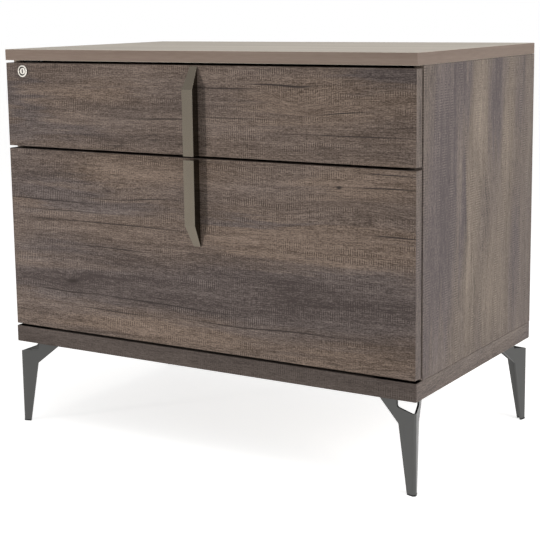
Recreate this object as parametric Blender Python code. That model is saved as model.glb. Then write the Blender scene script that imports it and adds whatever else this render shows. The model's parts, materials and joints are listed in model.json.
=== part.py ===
"""A two-drawer lateral filing cabinet of oak-faced boards on bent sheet-metal legs.

Metres, +Z up. The drawer fronts face -Y and the origin lies on the floor, under
the middle of the space that the cabinet and its handles take up.
"""

from math import cos, pi, radians, sin, tan

import bmesh
import bpy
from mathutils import Matrix, Vector

# Outline of the cabinet
WIDTH = 0.840
DEPTH = 0.490
LEG_HEIGHT = 0.158
BASE_HEIGHT = 0.0305
LOWER_FRONT_HEIGHT = 0.335
UPPER_FRONT_HEIGHT = 0.153
TOP_THICKNESS = 0.020

# Clearances
SEAT = 0.0003
REVEAL = 0.0045
FRONT_CLEARANCE = 0.0025
FRONT_INSET = 0.0015

# Boards of the carcass
FRONT_THICKNESS = 0.020
SIDE_THICKNESS = 0.018
FLOOR_THICKNESS = 0.012
BACK_THICKNESS = 0.006
BACK_INSET = 0.008
BACK_GROOVE = 0.006
BASE_RAIL_WIDTH = 0.080
ARRIS = 0.0007
BUFFER_RADIUS = 0.004
BUFFER_END_DISTANCE = 0.030
BUFFER_SIDES = 12

# Drawer boxes
BOX_WALL = 0.012
BOX_LIFT = 0.015
BOX_REAR_CLEARANCE = 0.0357
BOX_LOCK_CLEARANCE = 0.0055
LOWER_BOX_DROP = 0.060
BOX_BOTTOM_THICKNESS = 0.006
BOX_BOTTOM_RISE = 0.008
BOX_GROOVE = 0.006

# Telescopic runners, measured inwards from the side panel
RUNNER_WIDTH = 0.0127
RUNNER_HEIGHT = 0.045
RUNNER_STEEL = 0.0012
RUNNER_SETBACK = 0.003
RUNNER_TAIL = 0.0148
RUNNER_RISE = 0.050
RUNNER_HEAD_CLEARANCE = 0.0007
RUNNER_WEB_CLEARANCE = 0.0008
RUNNER_LIP_CLEARANCE = 0.0010
RUNNER_LIP_STEP = 0.0020
RUNNER_SCREW_DISTANCE = 0.050

# Handles
HANDLE_WIDTH = 0.022
HANDLE_DEPTH = 0.017
HANDLE_UNDERCUT = 0.008
HANDLE_SLANT = 0.0385
HANDLE_TIP = 0.0010
HANDLE_TOP_DROP = 0.0015
LOWER_HANDLE_LENGTH = 0.151
HANDLE_ARRIS = 0.0006
HANDLE_SCREW_END_DISTANCE = 0.050
HANDLE_SCREW_BOX_RISE = 0.012
HANDLE_SCREW_BITE = 0.010

# Lock in the upper front
LOCK_FROM_SIDE = 0.042
LOCK_FROM_TOP = 0.015
ROSETTE_RADIUS = 0.011
ROSETTE_THICKNESS = 0.0025
BARREL_RADIUS = 0.009
BARREL_TAIL_SPARE = 0.0047
PLUG_RADIUS = 0.0062
PLUG_RECESS = 0.0006
PLUG_TAIL_RADIUS = 0.004
KEYWAY_WIDTH = 0.0016
KEYWAY_HEIGHT = 0.0066
KEYWAY_DEPTH = 0.008
NUT_RADIUS = 0.0125
NUT_THICKNESS = 0.004
NUT_SIDES = 24
CAM_THICKNESS = 0.002
CAM_WIDTH = 0.012
CAM_STEPS = 8
STRIKE_THICKNESS = 0.0016
STRIKE_LENGTH = 0.034
STRIKE_FOOT = 0.020
STRIKE_CLEARANCE = 0.002

# Rails for hanging files in the lower drawer
FILE_RAIL_THICKNESS = 0.003
FILE_RAIL_HEIGHT = 0.016
FILE_RAIL_STAND = 0.002
FILE_RAIL_FROM_FRONT = 0.020
FILE_RAIL_SPACING = 0.320

# Legs, each one folded sheet whose fold stands at a corner of the base
LEG_STEEL = 0.0035
BEND_INSIDE = 0.0015
BEND_STEPS = 6
LEG_INSET = 0.003
LEG_SPLAY = radians(18)
NOTCH_DROP = 0.020
NOTCH_RISE = 0.004
NOTCH_LENGTH = 0.040
NOTCH_RADIUS = 0.005
ARM_LENGTH = 0.110
KNEE_LENGTH = 0.036
KNEE_DROP = 0.043
FOOT_WIDTH = 0.017
PAD_THICKNESS = 0.002
PLATE_THICKNESS = 0.003
PLATE_MARGIN = 0.004
PLATE_SCREW_SIDE = 0.015
PLATE_SCREW_END = 0.014

# Screws: head radius, head height, shank radius, length below the head
WOOD_SCREW = (0.0038, 0.0018, 0.0018, 0.014)
LEG_SCREW = (0.0045, 0.0022, 0.0022, 0.022)
HANDLE_SCREW_HEAD = (0.0045, 0.0024, 0.0020)
CAM_SCREW = (0.0052, 0.0018, 0.0015, 0.005)
SCREW_SIDES = 8
LOCK_SIDES = 32

# Levels from the floor up
BASE_TOP = LEG_HEIGHT + BASE_HEIGHT
LOWER_FRONT_BOTTOM = BASE_TOP + REVEAL
LOWER_FRONT_TOP = LOWER_FRONT_BOTTOM + LOWER_FRONT_HEIGHT
UPPER_FRONT_BOTTOM = LOWER_FRONT_TOP + REVEAL
UPPER_FRONT_TOP = UPPER_FRONT_BOTTOM + UPPER_FRONT_HEIGHT
TOP_UNDERSIDE = UPPER_FRONT_TOP + REVEAL
TOP_SURFACE = TOP_UNDERSIDE + TOP_THICKNESS

# Planes from front to back
FRONT_FACE = -(DEPTH - HANDLE_DEPTH) / 2
FRONT_BACK = FRONT_FACE + FRONT_THICKNESS
CARCASS_FRONT = FRONT_BACK + FRONT_CLEARANCE
REAR = FRONT_FACE + DEPTH
BACK_PANEL_FRONT = REAR - BACK_INSET - BACK_THICKNESS
BOX_FRONT = FRONT_BACK + SEAT
BOX_REAR = BACK_PANEL_FRONT - BOX_REAR_CLEARANCE
RUNNER_FRONT = CARCASS_FRONT + RUNNER_SETBACK
RUNNER_LENGTH = BOX_REAR - RUNNER_TAIL - RUNNER_FRONT

# Planes from the middle to a side
HALF_WIDTH = WIDTH / 2
CARCASS_HALF = HALF_WIDTH - SIDE_THICKNESS
BOX_HALF = CARCASS_HALF - RUNNER_WIDTH - SEAT
SIDES = {"left": -1, "right": 1}

# Heights of the drawer boxes
LOCK_LEVEL = UPPER_FRONT_TOP - LOCK_FROM_TOP
UPPER_BOX_HEIGHT = LOCK_LEVEL - NUT_RADIUS - BOX_LOCK_CLEARANCE - UPPER_FRONT_BOTTOM - BOX_LIFT
LOWER_BOX_HEIGHT = LOWER_FRONT_HEIGHT - LOWER_BOX_DROP - BOX_LIFT

# Runner sections, from the side panel inwards
MIDDLE_CHANNEL_START = SEAT + RUNNER_STEEL + WOOD_SCREW[1] + RUNNER_HEAD_CLEARANCE
INNER_CHANNEL_START = MIDDLE_CHANNEL_START + RUNNER_STEEL + RUNNER_WEB_CLEARANCE
MIDDLE_CHANNEL_END = RUNNER_WIDTH - RUNNER_STEEL - RUNNER_LIP_CLEARANCE
OUTER_CHANNEL_END = MIDDLE_CHANNEL_END - RUNNER_LIP_STEP

# Lock and leg sizes that follow from the others
BARREL_TAIL = SEAT + NUT_THICKNESS + BARREL_TAIL_SPARE
CAM_REACH = LOCK_FROM_TOP + REVEAL - SEAT - STRIKE_THICKNESS - STRIKE_CLEARANCE
BEND_RADIUS = LEG_STEEL + BEND_INSIDE

# Finishes: sRGB colour, roughness, metallic
OAK = ("6E6258", 0.62, 0.0)
OAK_SIDE = ("7A6F66", 0.62, 0.0)
TOP_FINISH = ("B8B0A3", 0.55, 0.0)
INNER_BOARD = ("8C8074", 0.60, 0.0)
GUNMETAL = ("58585A", 0.42, 1.0)
BRONZE = ("7D7C70", 0.38, 1.0)
NICKEL = ("B9B6AE", 0.30, 1.0)
ZINC = ("A7A9AA", 0.35, 1.0)
RUBBER = ("232323", 0.80, 0.0)


def clear_scene():
    """Remove every object of the scene that is open."""
    for obj in list(bpy.data.objects):
        bpy.data.objects.remove(obj)


def linear(hex_colour):
    """Turn an sRGB hex colour into linear red, green, blue and alpha."""
    parts = [int(hex_colour[i:i + 2], 16) / 255 for i in (0, 2, 4)]
    curve = [c / 12.92 if c <= 0.04045 else ((c + 0.055) / 1.055) ** 2.4 for c in parts]
    return curve + [1.0]


def make_material(name, finish):
    """Make one Principled material from a colour, a roughness and a metallic value."""
    colour, roughness, metallic = finish
    material = bpy.data.materials.new(name)
    material.use_nodes = True
    shader = material.node_tree.nodes["Principled BSDF"]
    shader.inputs["Base Color"].default_value = linear(colour)
    shader.inputs["Roughness"].default_value = roughness
    shader.inputs["Metallic"].default_value = metallic
    material.diffuse_color = linear(colour)
    return material


def world_origin(obj):
    """Add up the locations from an object to the top of its parents."""
    origin = Vector((0.0, 0.0, 0.0))
    while obj:
        origin += obj.location
        obj = obj.parent
    return origin


def add_body(name, place, parent=None):
    """Make the empty that carries one moving body."""
    body = bpy.data.objects.new(name, None)
    body.location = Vector(place) - world_origin(parent)
    body.parent = parent
    bpy.context.collection.objects.link(body)
    return body


def add_mesh_object(name, mesh, finish, parent, place, turn=0.0):
    """Link a mesh as one named piece at a place in the world, turned about Z."""
    obj = bpy.data.objects.new(name, mesh)
    obj.parent = parent
    obj.location = Vector(place) - world_origin(parent)
    obj.rotation_euler.z = turn
    bpy.context.collection.objects.link(obj)
    if finish:
        obj.data = mesh if mesh.users == 1 else mesh.copy()
        obj.data.materials.clear()
        obj.data.materials.append(make_material(name + "_finish", finish))
    return obj


def add_object(name, bm, finish, parent, place=(0.0, 0.0, 0.0)):
    """Turn a bmesh into one named piece."""
    mesh = bpy.data.meshes.new(name)
    bm.to_mesh(mesh)
    bm.free()
    return add_mesh_object(name, mesh, finish, parent, place)


def add_cutter(name, bm, parent, place=(0.0, 0.0, 0.0)):
    """Make a solid that only cuts others and isn't part of the cabinet."""
    cutter = add_object(name, bm, None, parent, place)
    cutter.hide_render = True
    cutter.display_type = "WIRE"
    return cutter


def ease_edges(obj, width):
    """Take the sharp corner off every edge of a board."""
    bevel = obj.modifiers.new("arris", "BEVEL")
    bevel.width = width
    bevel.segments = 1
    bevel.limit_method = "ANGLE"


def cut(obj, cutter):
    """Cut one solid out of a piece."""
    boolean = obj.modifiers.new(cutter.name, "BOOLEAN")
    boolean.operation = "DIFFERENCE"
    boolean.object = cutter


def shade_round(obj):
    """Shade turned faces smooth and keep their rims sharp."""
    obj.data.shade_smooth()
    obj.data.set_sharp_from_angle(angle=radians(35))


def box_mesh(low, high, grow=0.0):
    """Make a box of a given size round its own middle, grown on every side."""
    size = Vector(high) - Vector(low) + Vector((grow, grow, grow)) * 2
    bm = bmesh.new()
    bmesh.ops.create_cube(bm, size=1.0, matrix=Matrix.Diagonal((*size, 1.0)))
    return bm


def board(name, low, high, finish, parent, arris=ARRIS):
    """Make a board between two corners, its origin at its middle."""
    middle = (Vector(low) + Vector(high)) / 2
    obj = add_object(name, box_mesh(low, high), finish, parent, middle)
    if arris:
        ease_edges(obj, arris)
    return obj


def box_cutter(name, low, high, parent, grow=SEAT):
    """Make a cutter for the housing of a board, one clearance larger all round."""
    middle = (Vector(low) + Vector(high)) / 2
    return add_cutter(name, box_mesh(low, high, grow), parent, middle)


def prism(points, along):
    """Close a flat outline and push it along a vector into a solid."""
    bm = bmesh.new()
    face = bm.faces.new([bm.verts.new(point) for point in points])
    pushed = bmesh.ops.extrude_face_region(bm, geom=[face])["geom"]
    moved = [part for part in pushed if isinstance(part, bmesh.types.BMVert)]
    bmesh.ops.translate(bm, verts=moved, vec=along)
    bmesh.ops.recalc_face_normals(bm, faces=bm.faces)
    return bm


def turned(profile, sides, hollow=False):
    """Turn (radius, height) points round Z; a hollow profile closes on itself."""
    bm = bmesh.new()
    rings = []
    for radius, height in profile:
        if radius == 0:
            rings.append([bm.verts.new((0.0, 0.0, height))] * sides)
            continue
        angles = [2 * pi * step / sides for step in range(sides)]
        rings.append([bm.verts.new((radius * cos(a), radius * sin(a), height)) for a in angles])
    pairs = list(zip(rings, rings[1:]))
    if hollow:
        pairs.append((rings[-1], rings[0]))
    for low, high in pairs:
        for step in range(sides):
            after = (step + 1) % sides
            corners = dict.fromkeys((low[step], low[after], high[after], high[step]))
            bm.faces.new(corners)
    bmesh.ops.recalc_face_normals(bm, faces=bm.faces)
    return bm


def turn_to_face(bm):
    """Turn a solid made along Z so that its height runs back along +Y."""
    bmesh.ops.rotate(bm, verts=bm.verts, matrix=Matrix.Rotation(-pi / 2, 3, "X"))


def facing(point, direction):
    """Give the matrix that carries +Z at the origin to a direction at a point."""
    turn = Vector((0.0, 0.0, 1.0)).rotation_difference(Vector(direction))
    return Matrix.Translation(point) @ turn.to_matrix().to_4x4()


def copies(source, matrices):
    """Collect one placed copy of a bmesh for each matrix."""
    mesh = bpy.data.meshes.new("copy")
    source.to_mesh(mesh)
    source.free()
    bm = bmesh.new()
    for matrix in matrices:
        start = len(bm.verts)
        bm.from_mesh(mesh)
        bm.verts.ensure_lookup_table()
        bmesh.ops.transform(bm, matrix=matrix, verts=bm.verts[start:])
    bpy.data.meshes.remove(mesh)
    return bm


def screw_mesh(size, seat):
    """Make a screw whose head lies a seat above z = 0 and whose shank hangs below."""
    head_radius, head_height, shank_radius, length = size
    profile = [
        (0, -length),
        (shank_radius, -length),
        (shank_radius, seat),
        (head_radius, seat),
        (head_radius, head_height * 0.6),
        (head_radius * 0.7, head_height),
        (0, head_height),
    ]
    return turned(profile, SCREW_SIDES)


def screw_hole_mesh(size):
    """Make the hole for a screw, one clearance wider and deeper than its shank."""
    _, _, shank_radius, length = size
    radius = shank_radius + SEAT
    profile = [(0, -length - SEAT), (radius, -length - SEAT), (radius, SEAT), (0, SEAT)]
    return turned(profile, SCREW_SIDES)


def add_screw(name, size, place, parent, drilled):
    """Make one screw as its own piece and drill its hole in what it passes through."""
    bm = copies(screw_mesh(size, SEAT), [place])
    add_object(name, bm, ZINC, parent)
    holes = add_cutter(name + "_hole", copies(screw_hole_mesh(size), [place]), parent)
    for piece in drilled:
        cut(piece, holes)


def join_screws(piece, name, size, places, parent):
    """Make like screws one with the piece that they hold; return their holes' cutter."""
    screws = add_cutter(name, copies(screw_mesh(size, -SEAT), places), parent)
    union = piece.modifiers.new(name, "BOOLEAN")
    union.operation = "UNION"
    union.object = screws
    return add_cutter(name + "_holes", copies(screw_hole_mesh(size), places), parent)


def fillet(before, corner, after, radius, steps=4):
    """Round one corner of an outline with an arc that touches both its edges."""
    before, corner, after = Vector(before), Vector(corner), Vector(after)
    back = (before - corner).normalized()
    on = (after - corner).normalized()
    half = back.angle(on) / 2
    centre = corner + (back + on).normalized() * radius / sin(half)
    start = corner + back * radius / tan(half) - centre
    end = corner + on * radius / tan(half) - centre
    spokes = [start.lerp(end, step / steps).normalized() for step in range(steps + 1)]
    return [tuple(centre + spoke * radius) for spoke in spokes]


def make_base():
    """Make the frame under the carcass from four rails mitred at the corners."""
    gap = SEAT * 2 ** 0.5
    rail = BASE_RAIL_WIDTH
    x, front, rear = HALF_WIDTH, FRONT_FACE, REAR
    rails = {}
    for name, edge, step in (("front", front, rail), ("rear", rear, -rail)):
        outline = [(-x, edge), (x, edge), (x - rail, edge + step), (-x + rail, edge + step)]
        rails[name] = outline
    for name, side in SIDES.items():
        rails[name] = [
            (side * x, front + gap),
            (side * x, rear - gap),
            (side * (x - rail), rear - rail - gap),
            (side * (x - rail), front + rail + gap),
        ]
    made = {}
    for name, outline in rails.items():
        points = [(px, py, LEG_HEIGHT) for px, py in outline]
        solid = prism(points, (0.0, 0.0, BASE_HEIGHT))
        made[name] = add_object("base_" + name + "_rail", solid, OAK, None)
        ease_edges(made[name], ARRIS)
    return made


def make_side_panels():
    """Make the two upright sides, which stand on the base and carry the top."""
    panels = {}
    for name, side in SIDES.items():
        outer, inner = side * HALF_WIDTH, side * CARCASS_HALF
        low = (min(outer, inner), CARCASS_FRONT, BASE_TOP + SEAT)
        high = (max(outer, inner), REAR, TOP_UNDERSIDE - SEAT)
        panels[name] = board(name + "_side_panel", low, high, OAK_SIDE, None)
    return panels


def make_top():
    """Make the top panel, flush with the fronts, the sides and the base."""
    low = (-HALF_WIDTH, FRONT_FACE, TOP_UNDERSIDE)
    high = (HALF_WIDTH, REAR, TOP_SURFACE)
    return board("top_panel", low, high, TOP_FINISH, None)


def make_floor():
    """Make the board that closes the carcass on top of the base."""
    half = CARCASS_HALF - SEAT
    low = (-half, CARCASS_FRONT, BASE_TOP + SEAT)
    high = (half, BACK_PANEL_FRONT - SEAT, BASE_TOP + SEAT + FLOOR_THICKNESS)
    return board("bottom_panel", low, high, INNER_BOARD, None)


def make_back(panels):
    """Make the thin back, which stands in a groove of each side panel."""
    half = CARCASS_HALF + BACK_GROOVE - SEAT
    low = (-half, BACK_PANEL_FRONT, BASE_TOP + SEAT)
    high = (half, BACK_PANEL_FRONT + BACK_THICKNESS, TOP_UNDERSIDE - SEAT)
    groove = box_cutter("back_groove", low, high, None)
    for panel in panels.values():
        cut(panel, groove)
    return board("back_panel", low, high, INNER_BOARD, None, arris=0.0)


def make_buffers():
    """Make the soft buffers on the side panels that the drawer fronts close against."""
    thickness = FRONT_CLEARANCE - 2 * SEAT
    fronts = {"upper": UPPER_FRONT_TOP, "lower": LOWER_FRONT_TOP}
    for side_name, side in SIDES.items():
        for drawer, level in fronts.items():
            radius = BUFFER_RADIUS
            disc = turned([(0, 0), (radius, 0), (radius, thickness), (0, thickness)], BUFFER_SIDES)
            turn_to_face(disc)
            x = side * (HALF_WIDTH - SIDE_THICKNESS / 2)
            place = (x, CARCASS_FRONT - SEAT - thickness, level - BUFFER_END_DISTANCE)
            add_object("buffer_" + drawer + "_" + side_name, disc, RUBBER, None, place)


def channel_outline(start, end, half_height, web_first):
    """Give a channel section as (inward, up) points, its web at one end."""
    web, lip = (start, end) if web_first else (end, start)
    inside = web + RUNNER_STEEL if web_first else web - RUNNER_STEEL
    flange = half_height - RUNNER_STEEL
    return [
        (web, -half_height),
        (lip, -half_height),
        (lip, -flange),
        (inside, -flange),
        (inside, flange),
        (lip, flange),
        (lip, half_height),
        (web, half_height),
    ]


def add_channel(name, section, side, level, parent):
    """Make one runner member by pushing its section back along the drawer's way."""
    points = [(side * (CARCASS_HALF - inward), RUNNER_FRONT, level + up) for inward, up in section]
    return add_object(name, prism(points, (0.0, RUNNER_LENGTH, 0.0)), ZINC, parent)


def make_runners(drawer, level, drawer_body, middle_body):
    """Make a pair of three-part runners; each part nests in the one outside it."""
    outer_half = RUNNER_HEIGHT / 2
    middle_half = outer_half - RUNNER_STEEL - SEAT
    inner_half = middle_half - RUNNER_STEEL - SEAT
    outer = channel_outline(SEAT, OUTER_CHANNEL_END, outer_half, True)
    middle = channel_outline(MIDDLE_CHANNEL_START, MIDDLE_CHANNEL_END, middle_half, True)
    inner = channel_outline(INNER_CHANNEL_START, RUNNER_WIDTH, inner_half, False)
    members = {}
    for name, side in SIDES.items():
        stem = drawer + "_" + name
        members[name] = (
            add_channel(stem + "_outer_rail", outer, side, level, None),
            add_channel(stem + "_inner_rail", inner, side, level, drawer_body),
        )
        add_channel(stem + "_middle_rail", middle, side, level, middle_body)
    return members


def runner_screw_places(side, level, inward, into_drawer):
    """Place the screws of one member, their heads inside the channel."""
    direction = side if into_drawer else -side
    x = side * (CARCASS_HALF - inward)
    distances = (RUNNER_SCREW_DISTANCE, RUNNER_LENGTH - RUNNER_SCREW_DISTANCE)
    return [facing((x, RUNNER_FRONT + y, level), (direction, 0.0, 0.0)) for y in distances]


def fix_runners(drawer, level, panels, box, members, body):
    """Screw the outer members to the side panels and the inner ones to the box."""
    box_screw = (*WOOD_SCREW[:3], RUNNER_STEEL + BOX_WALL - 2 * SEAT)
    for name, side in SIDES.items():
        outer, inner = members[name]
        stem = drawer + "_" + name
        places = runner_screw_places(side, level, SEAT + RUNNER_STEEL, into_drawer=False)
        cut(panels[name], join_screws(outer, stem + "_case_screws", WOOD_SCREW, places, None))
        places = runner_screw_places(side, level, RUNNER_WIDTH - RUNNER_STEEL, into_drawer=True)
        cut(box[name], join_screws(inner, stem + "_box_screws", box_screw, places, body))


def make_front(drawer, bottom, height, body):
    """Make the thick front of a drawer, which laps over the carcass edges."""
    half = HALF_WIDTH - FRONT_INSET
    low = (-half, FRONT_FACE, bottom)
    high = (half, FRONT_BACK, bottom + height)
    return board(drawer + "_front", low, high, OAK, body)


def make_box(drawer, front, front_bottom, height, body):
    """Make a drawer box of two sides, a back and a bottom held in grooves."""
    low_z = front_bottom + BOX_LIFT
    high_z = low_z + height
    box = {}
    for name, side in SIDES.items():
        outer, inner = side * BOX_HALF, side * (BOX_HALF - BOX_WALL)
        low = (min(outer, inner), BOX_FRONT, low_z)
        high = (max(outer, inner), BOX_REAR, high_z)
        box[name] = board(drawer + "_box_" + name, low, high, INNER_BOARD, body)
    half = BOX_HALF - BOX_WALL - SEAT
    low, high = (-half, BOX_REAR - BOX_WALL, low_z), (half, BOX_REAR, high_z)
    box["back"] = board(drawer + "_box_back", low, high, INNER_BOARD, body)
    half = BOX_HALF - BOX_WALL + BOX_GROOVE - SEAT
    bottom_z = low_z + BOX_BOTTOM_RISE
    low = (-half, FRONT_BACK - BOX_GROOVE + SEAT, bottom_z)
    high = (half, BOX_REAR - BOX_WALL + BOX_GROOVE - SEAT, bottom_z + BOX_BOTTOM_THICKNESS)
    board(drawer + "_box_bottom", low, high, INNER_BOARD, body, arris=0.0)
    groove = box_cutter(drawer + "_bottom_groove", low, high, body)
    for piece in (front, *box.values()):
        cut(piece, groove)
    return box


def make_handle(drawer, outline, screw_levels, front, body):
    """Make a bar handle with one slanted end and the screws that hold it.

    Its left side leans under the face, for the fingers, so the slanted end narrows to its tip.
    """
    half = HANDLE_WIDTH / 2
    back = FRONT_FACE - SEAT
    points = [(-half, back - forward, level) for forward, level in outline]
    solid = prism(points, (HANDLE_WIDTH, 0.0, 0.0))
    for corner in solid.verts:
        if corner.co.x < 0:
            corner.co.x += HANDLE_UNDERCUT * (1 - (back - corner.co.y) / (HANDLE_DEPTH - SEAT))
    handle = add_object(drawer + "_handle", solid, BRONZE, body)
    ease_edges(handle, HANDLE_ARRIS)
    size = (*HANDLE_SCREW_HEAD, FRONT_THICKNESS + HANDLE_SCREW_BITE)
    for end, level in screw_levels.items():
        place = facing((HANDLE_UNDERCUT / 2, FRONT_BACK, level), (0.0, 1.0, 0.0))
        add_screw(drawer + "_handle_screw_" + end, size, place, body, (front, handle))


def make_handles(upper_front, lower_front, upper_body, lower_body):
    """Make both handles, which read as one long bar, split at the gap between the fronts."""
    depth = HANDLE_DEPTH - SEAT
    top = UPPER_FRONT_TOP - HANDLE_TOP_DROP
    upper_end = UPPER_FRONT_BOTTOM
    bend = (depth, top - HANDLE_SLANT)
    upper = [(0, upper_end), (depth, upper_end), bend, (HANDLE_TIP, top), (0, top)]
    lower_top = LOWER_FRONT_TOP - HANDLE_TOP_DROP
    low = lower_top - LOWER_HANDLE_LENGTH
    bend = (depth, low + HANDLE_SLANT)
    lower = [(0, low), (HANDLE_TIP, low), bend, (depth, lower_top), (0, lower_top)]
    reach = HANDLE_SCREW_END_DISTANCE
    box_floor = UPPER_FRONT_BOTTOM + BOX_LIFT + BOX_BOTTOM_RISE + BOX_BOTTOM_THICKNESS
    upper_levels = {"top": top - reach, "bottom": box_floor + HANDLE_SCREW_BOX_RISE}
    lower_levels = {"top": lower_top - reach / 2, "bottom": low + reach}
    make_handle("upper", upper, upper_levels, upper_front, upper_body)
    make_handle("lower", lower, lower_levels, lower_front, lower_body)


def lock_place():
    """Give the middle of the lock's axis on the face of the upper front."""
    x = -HALF_WIDTH + LOCK_FROM_SIDE
    return Vector((x, FRONT_FACE, LOCK_LEVEL))


def add_lock_piece(name, profile, body, hollow=False, sides=LOCK_SIDES):
    """Turn a lock piece round the lock's axis; heights run back from the front's face."""
    solid = turned(profile, sides, hollow)
    turn_to_face(solid)
    piece = add_object(name, solid, NICKEL, body, lock_place())
    shade_round(piece)
    return piece


def make_lock_barrel(front, body):
    """Make the fixed barrel with its rosette, and the nut that clamps it."""
    bore = PLUG_RADIUS + SEAT
    tail = FRONT_THICKNESS + BARREL_TAIL
    face = -ROSETTE_THICKNESS
    step = ROSETTE_THICKNESS / 3
    profile = [
        (bore, face + step),
        (bore + step, face),
        (ROSETTE_RADIUS - step, face),
        (ROSETTE_RADIUS, face + step),
        (ROSETTE_RADIUS, -SEAT),
        (BARREL_RADIUS, -SEAT),
        (BARREL_RADIUS, tail),
        (bore, tail),
    ]
    add_lock_piece("lock_barrel", profile, body, hollow=True)
    hole_radius = BARREL_RADIUS + SEAT
    end = FRONT_THICKNESS + SEAT
    hole = turned([(0, -SEAT), (hole_radius, -SEAT), (hole_radius, end), (0, end)], LOCK_SIDES)
    turn_to_face(hole)
    cut(front, add_cutter("lock_hole", hole, body, lock_place()))
    near, far = FRONT_THICKNESS + SEAT, FRONT_THICKNESS + SEAT + NUT_THICKNESS
    ring = [(hole_radius, near), (NUT_RADIUS, near), (NUT_RADIUS, far), (hole_radius, far)]
    add_lock_piece("lock_nut", ring, body, hollow=True, sides=NUT_SIDES)


def make_lock_plug(plug_body):
    """Make the turning plug with its keyway, the cam on its tail and the cam's screw."""
    face = PLUG_RECESS - ROSETTE_THICKNESS
    barrel_end = FRONT_THICKNESS + BARREL_TAIL
    cam_front = barrel_end + SEAT
    cam_back = cam_front + CAM_THICKNESS
    bevel = PLUG_RECESS
    profile = [
        (0, face),
        (PLUG_RADIUS - bevel, face),
        (PLUG_RADIUS, face + bevel),
        (PLUG_RADIUS, barrel_end),
        (PLUG_TAIL_RADIUS, barrel_end),
        (PLUG_TAIL_RADIUS, cam_back),
        (0, cam_back),
    ]
    plug = add_lock_piece("lock_plug", profile, plug_body)
    half = Vector((KEYWAY_WIDTH / 2, 0.0, KEYWAY_HEIGHT / 2))
    low = lock_place() - half + Vector((0.0, face - SEAT, 0.0))
    high = lock_place() + half + Vector((0.0, face + KEYWAY_DEPTH, 0.0))
    cut(plug, box_cutter("keyway", low, high, plug_body, grow=0.0))
    half_width = CAM_WIDTH / 2
    angles = [pi * step / CAM_STEPS - pi / 2 for step in range(CAM_STEPS + 1)]
    outline = [(half_width * cos(a), half_width * sin(a)) for a in angles]
    outline += [(-CAM_REACH, half_width), (-CAM_REACH, -half_width)]
    points = [(x, cam_front, z) for x, z in outline]
    solid = prism(points, (0.0, CAM_THICKNESS, 0.0))
    cam = add_object("lock_cam", solid, ZINC, plug_body, lock_place())
    reach, radius = CAM_THICKNESS, PLUG_TAIL_RADIUS + SEAT
    tail_hole = turned([(0, -reach), (radius, -reach), (radius, reach), (0, reach)], LOCK_SIDES)
    turn_to_face(tail_hole)
    middle = lock_place() + Vector((0.0, (cam_front + cam_back) / 2, 0.0))
    cut(cam, add_cutter("cam_hole", tail_hole, plug_body, middle))
    back = lock_place() + Vector((0.0, cam_back, 0.0))
    add_screw("lock_cam_screw", CAM_SCREW, facing(back, (0.0, 1.0, 0.0)), plug_body, (plug,))


def make_strike(top):
    """Make the angle under the top panel that the raised cam catches behind."""
    place = lock_place()
    cam_front = FRONT_FACE + FRONT_THICKNESS + BARREL_TAIL + SEAT
    lip_back = cam_front - STRIKE_CLEARANCE
    lip_front = lip_back - STRIKE_THICKNESS
    lip_low = place.z + BARREL_RADIUS + STRIKE_CLEARANCE
    upper = TOP_UNDERSIDE - SEAT
    lower = upper - STRIKE_THICKNESS
    outline = [
        (lip_front, lip_low),
        (lip_back, lip_low),
        (lip_back, lower),
        (lip_front + STRIKE_FOOT, lower),
        (lip_front + STRIKE_FOOT, upper),
        (lip_front, upper),
    ]
    points = [(place.x - STRIKE_LENGTH / 2, y, z) for y, z in outline]
    strike = add_object("lock_strike", prism(points, (STRIKE_LENGTH, 0.0, 0.0)), ZINC, None)
    distance = STRIKE_LENGTH / 2 - WOOD_SCREW[0] * 2
    y = lip_front + STRIKE_FOOT - WOOD_SCREW[0] * 1.5
    for name, side in SIDES.items():
        screw_place = facing((place.x + side * distance, y, lower), (0.0, 0.0, -1.0))
        add_screw("strike_screw_" + name, WOOD_SCREW, screw_place, None, (strike, top))


def make_file_rails(box, body):
    """Make the two flat bars that hanging files run on, let into the box sides."""
    top = LOWER_FRONT_BOTTOM + BOX_LIFT + LOWER_BOX_HEIGHT + FILE_RAIL_STAND
    first = FRONT_BACK + FILE_RAIL_FROM_FRONT
    for name, y in (("front", first), ("rear", first + FILE_RAIL_SPACING)):
        low = (-BOX_HALF, y, top - FILE_RAIL_HEIGHT)
        high = (BOX_HALF, y + FILE_RAIL_THICKNESS, top)
        board(name + "_file_rail", low, high, ZINC, body, arris=0.0)
        notch = box_cutter(name + "_file_rail_notch", low, high, body)
        for side in SIDES:
            cut(box[side], notch)


def flange_place(along, outwards):
    """Give the plan place of a point on the flange that runs along +X.

    The fold's rounded outside touches the lines x = LEG_INSET and y = LEG_INSET;
    outwards is measured from the axis of the bend, at right angles to the flange.
    """
    middle = LEG_INSET + BEND_RADIUS
    x = middle + outwards * sin(LEG_SPLAY) + along * cos(LEG_SPLAY)
    y = middle - outwards * cos(LEG_SPLAY) + along * sin(LEG_SPLAY)
    return x, y


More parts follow.
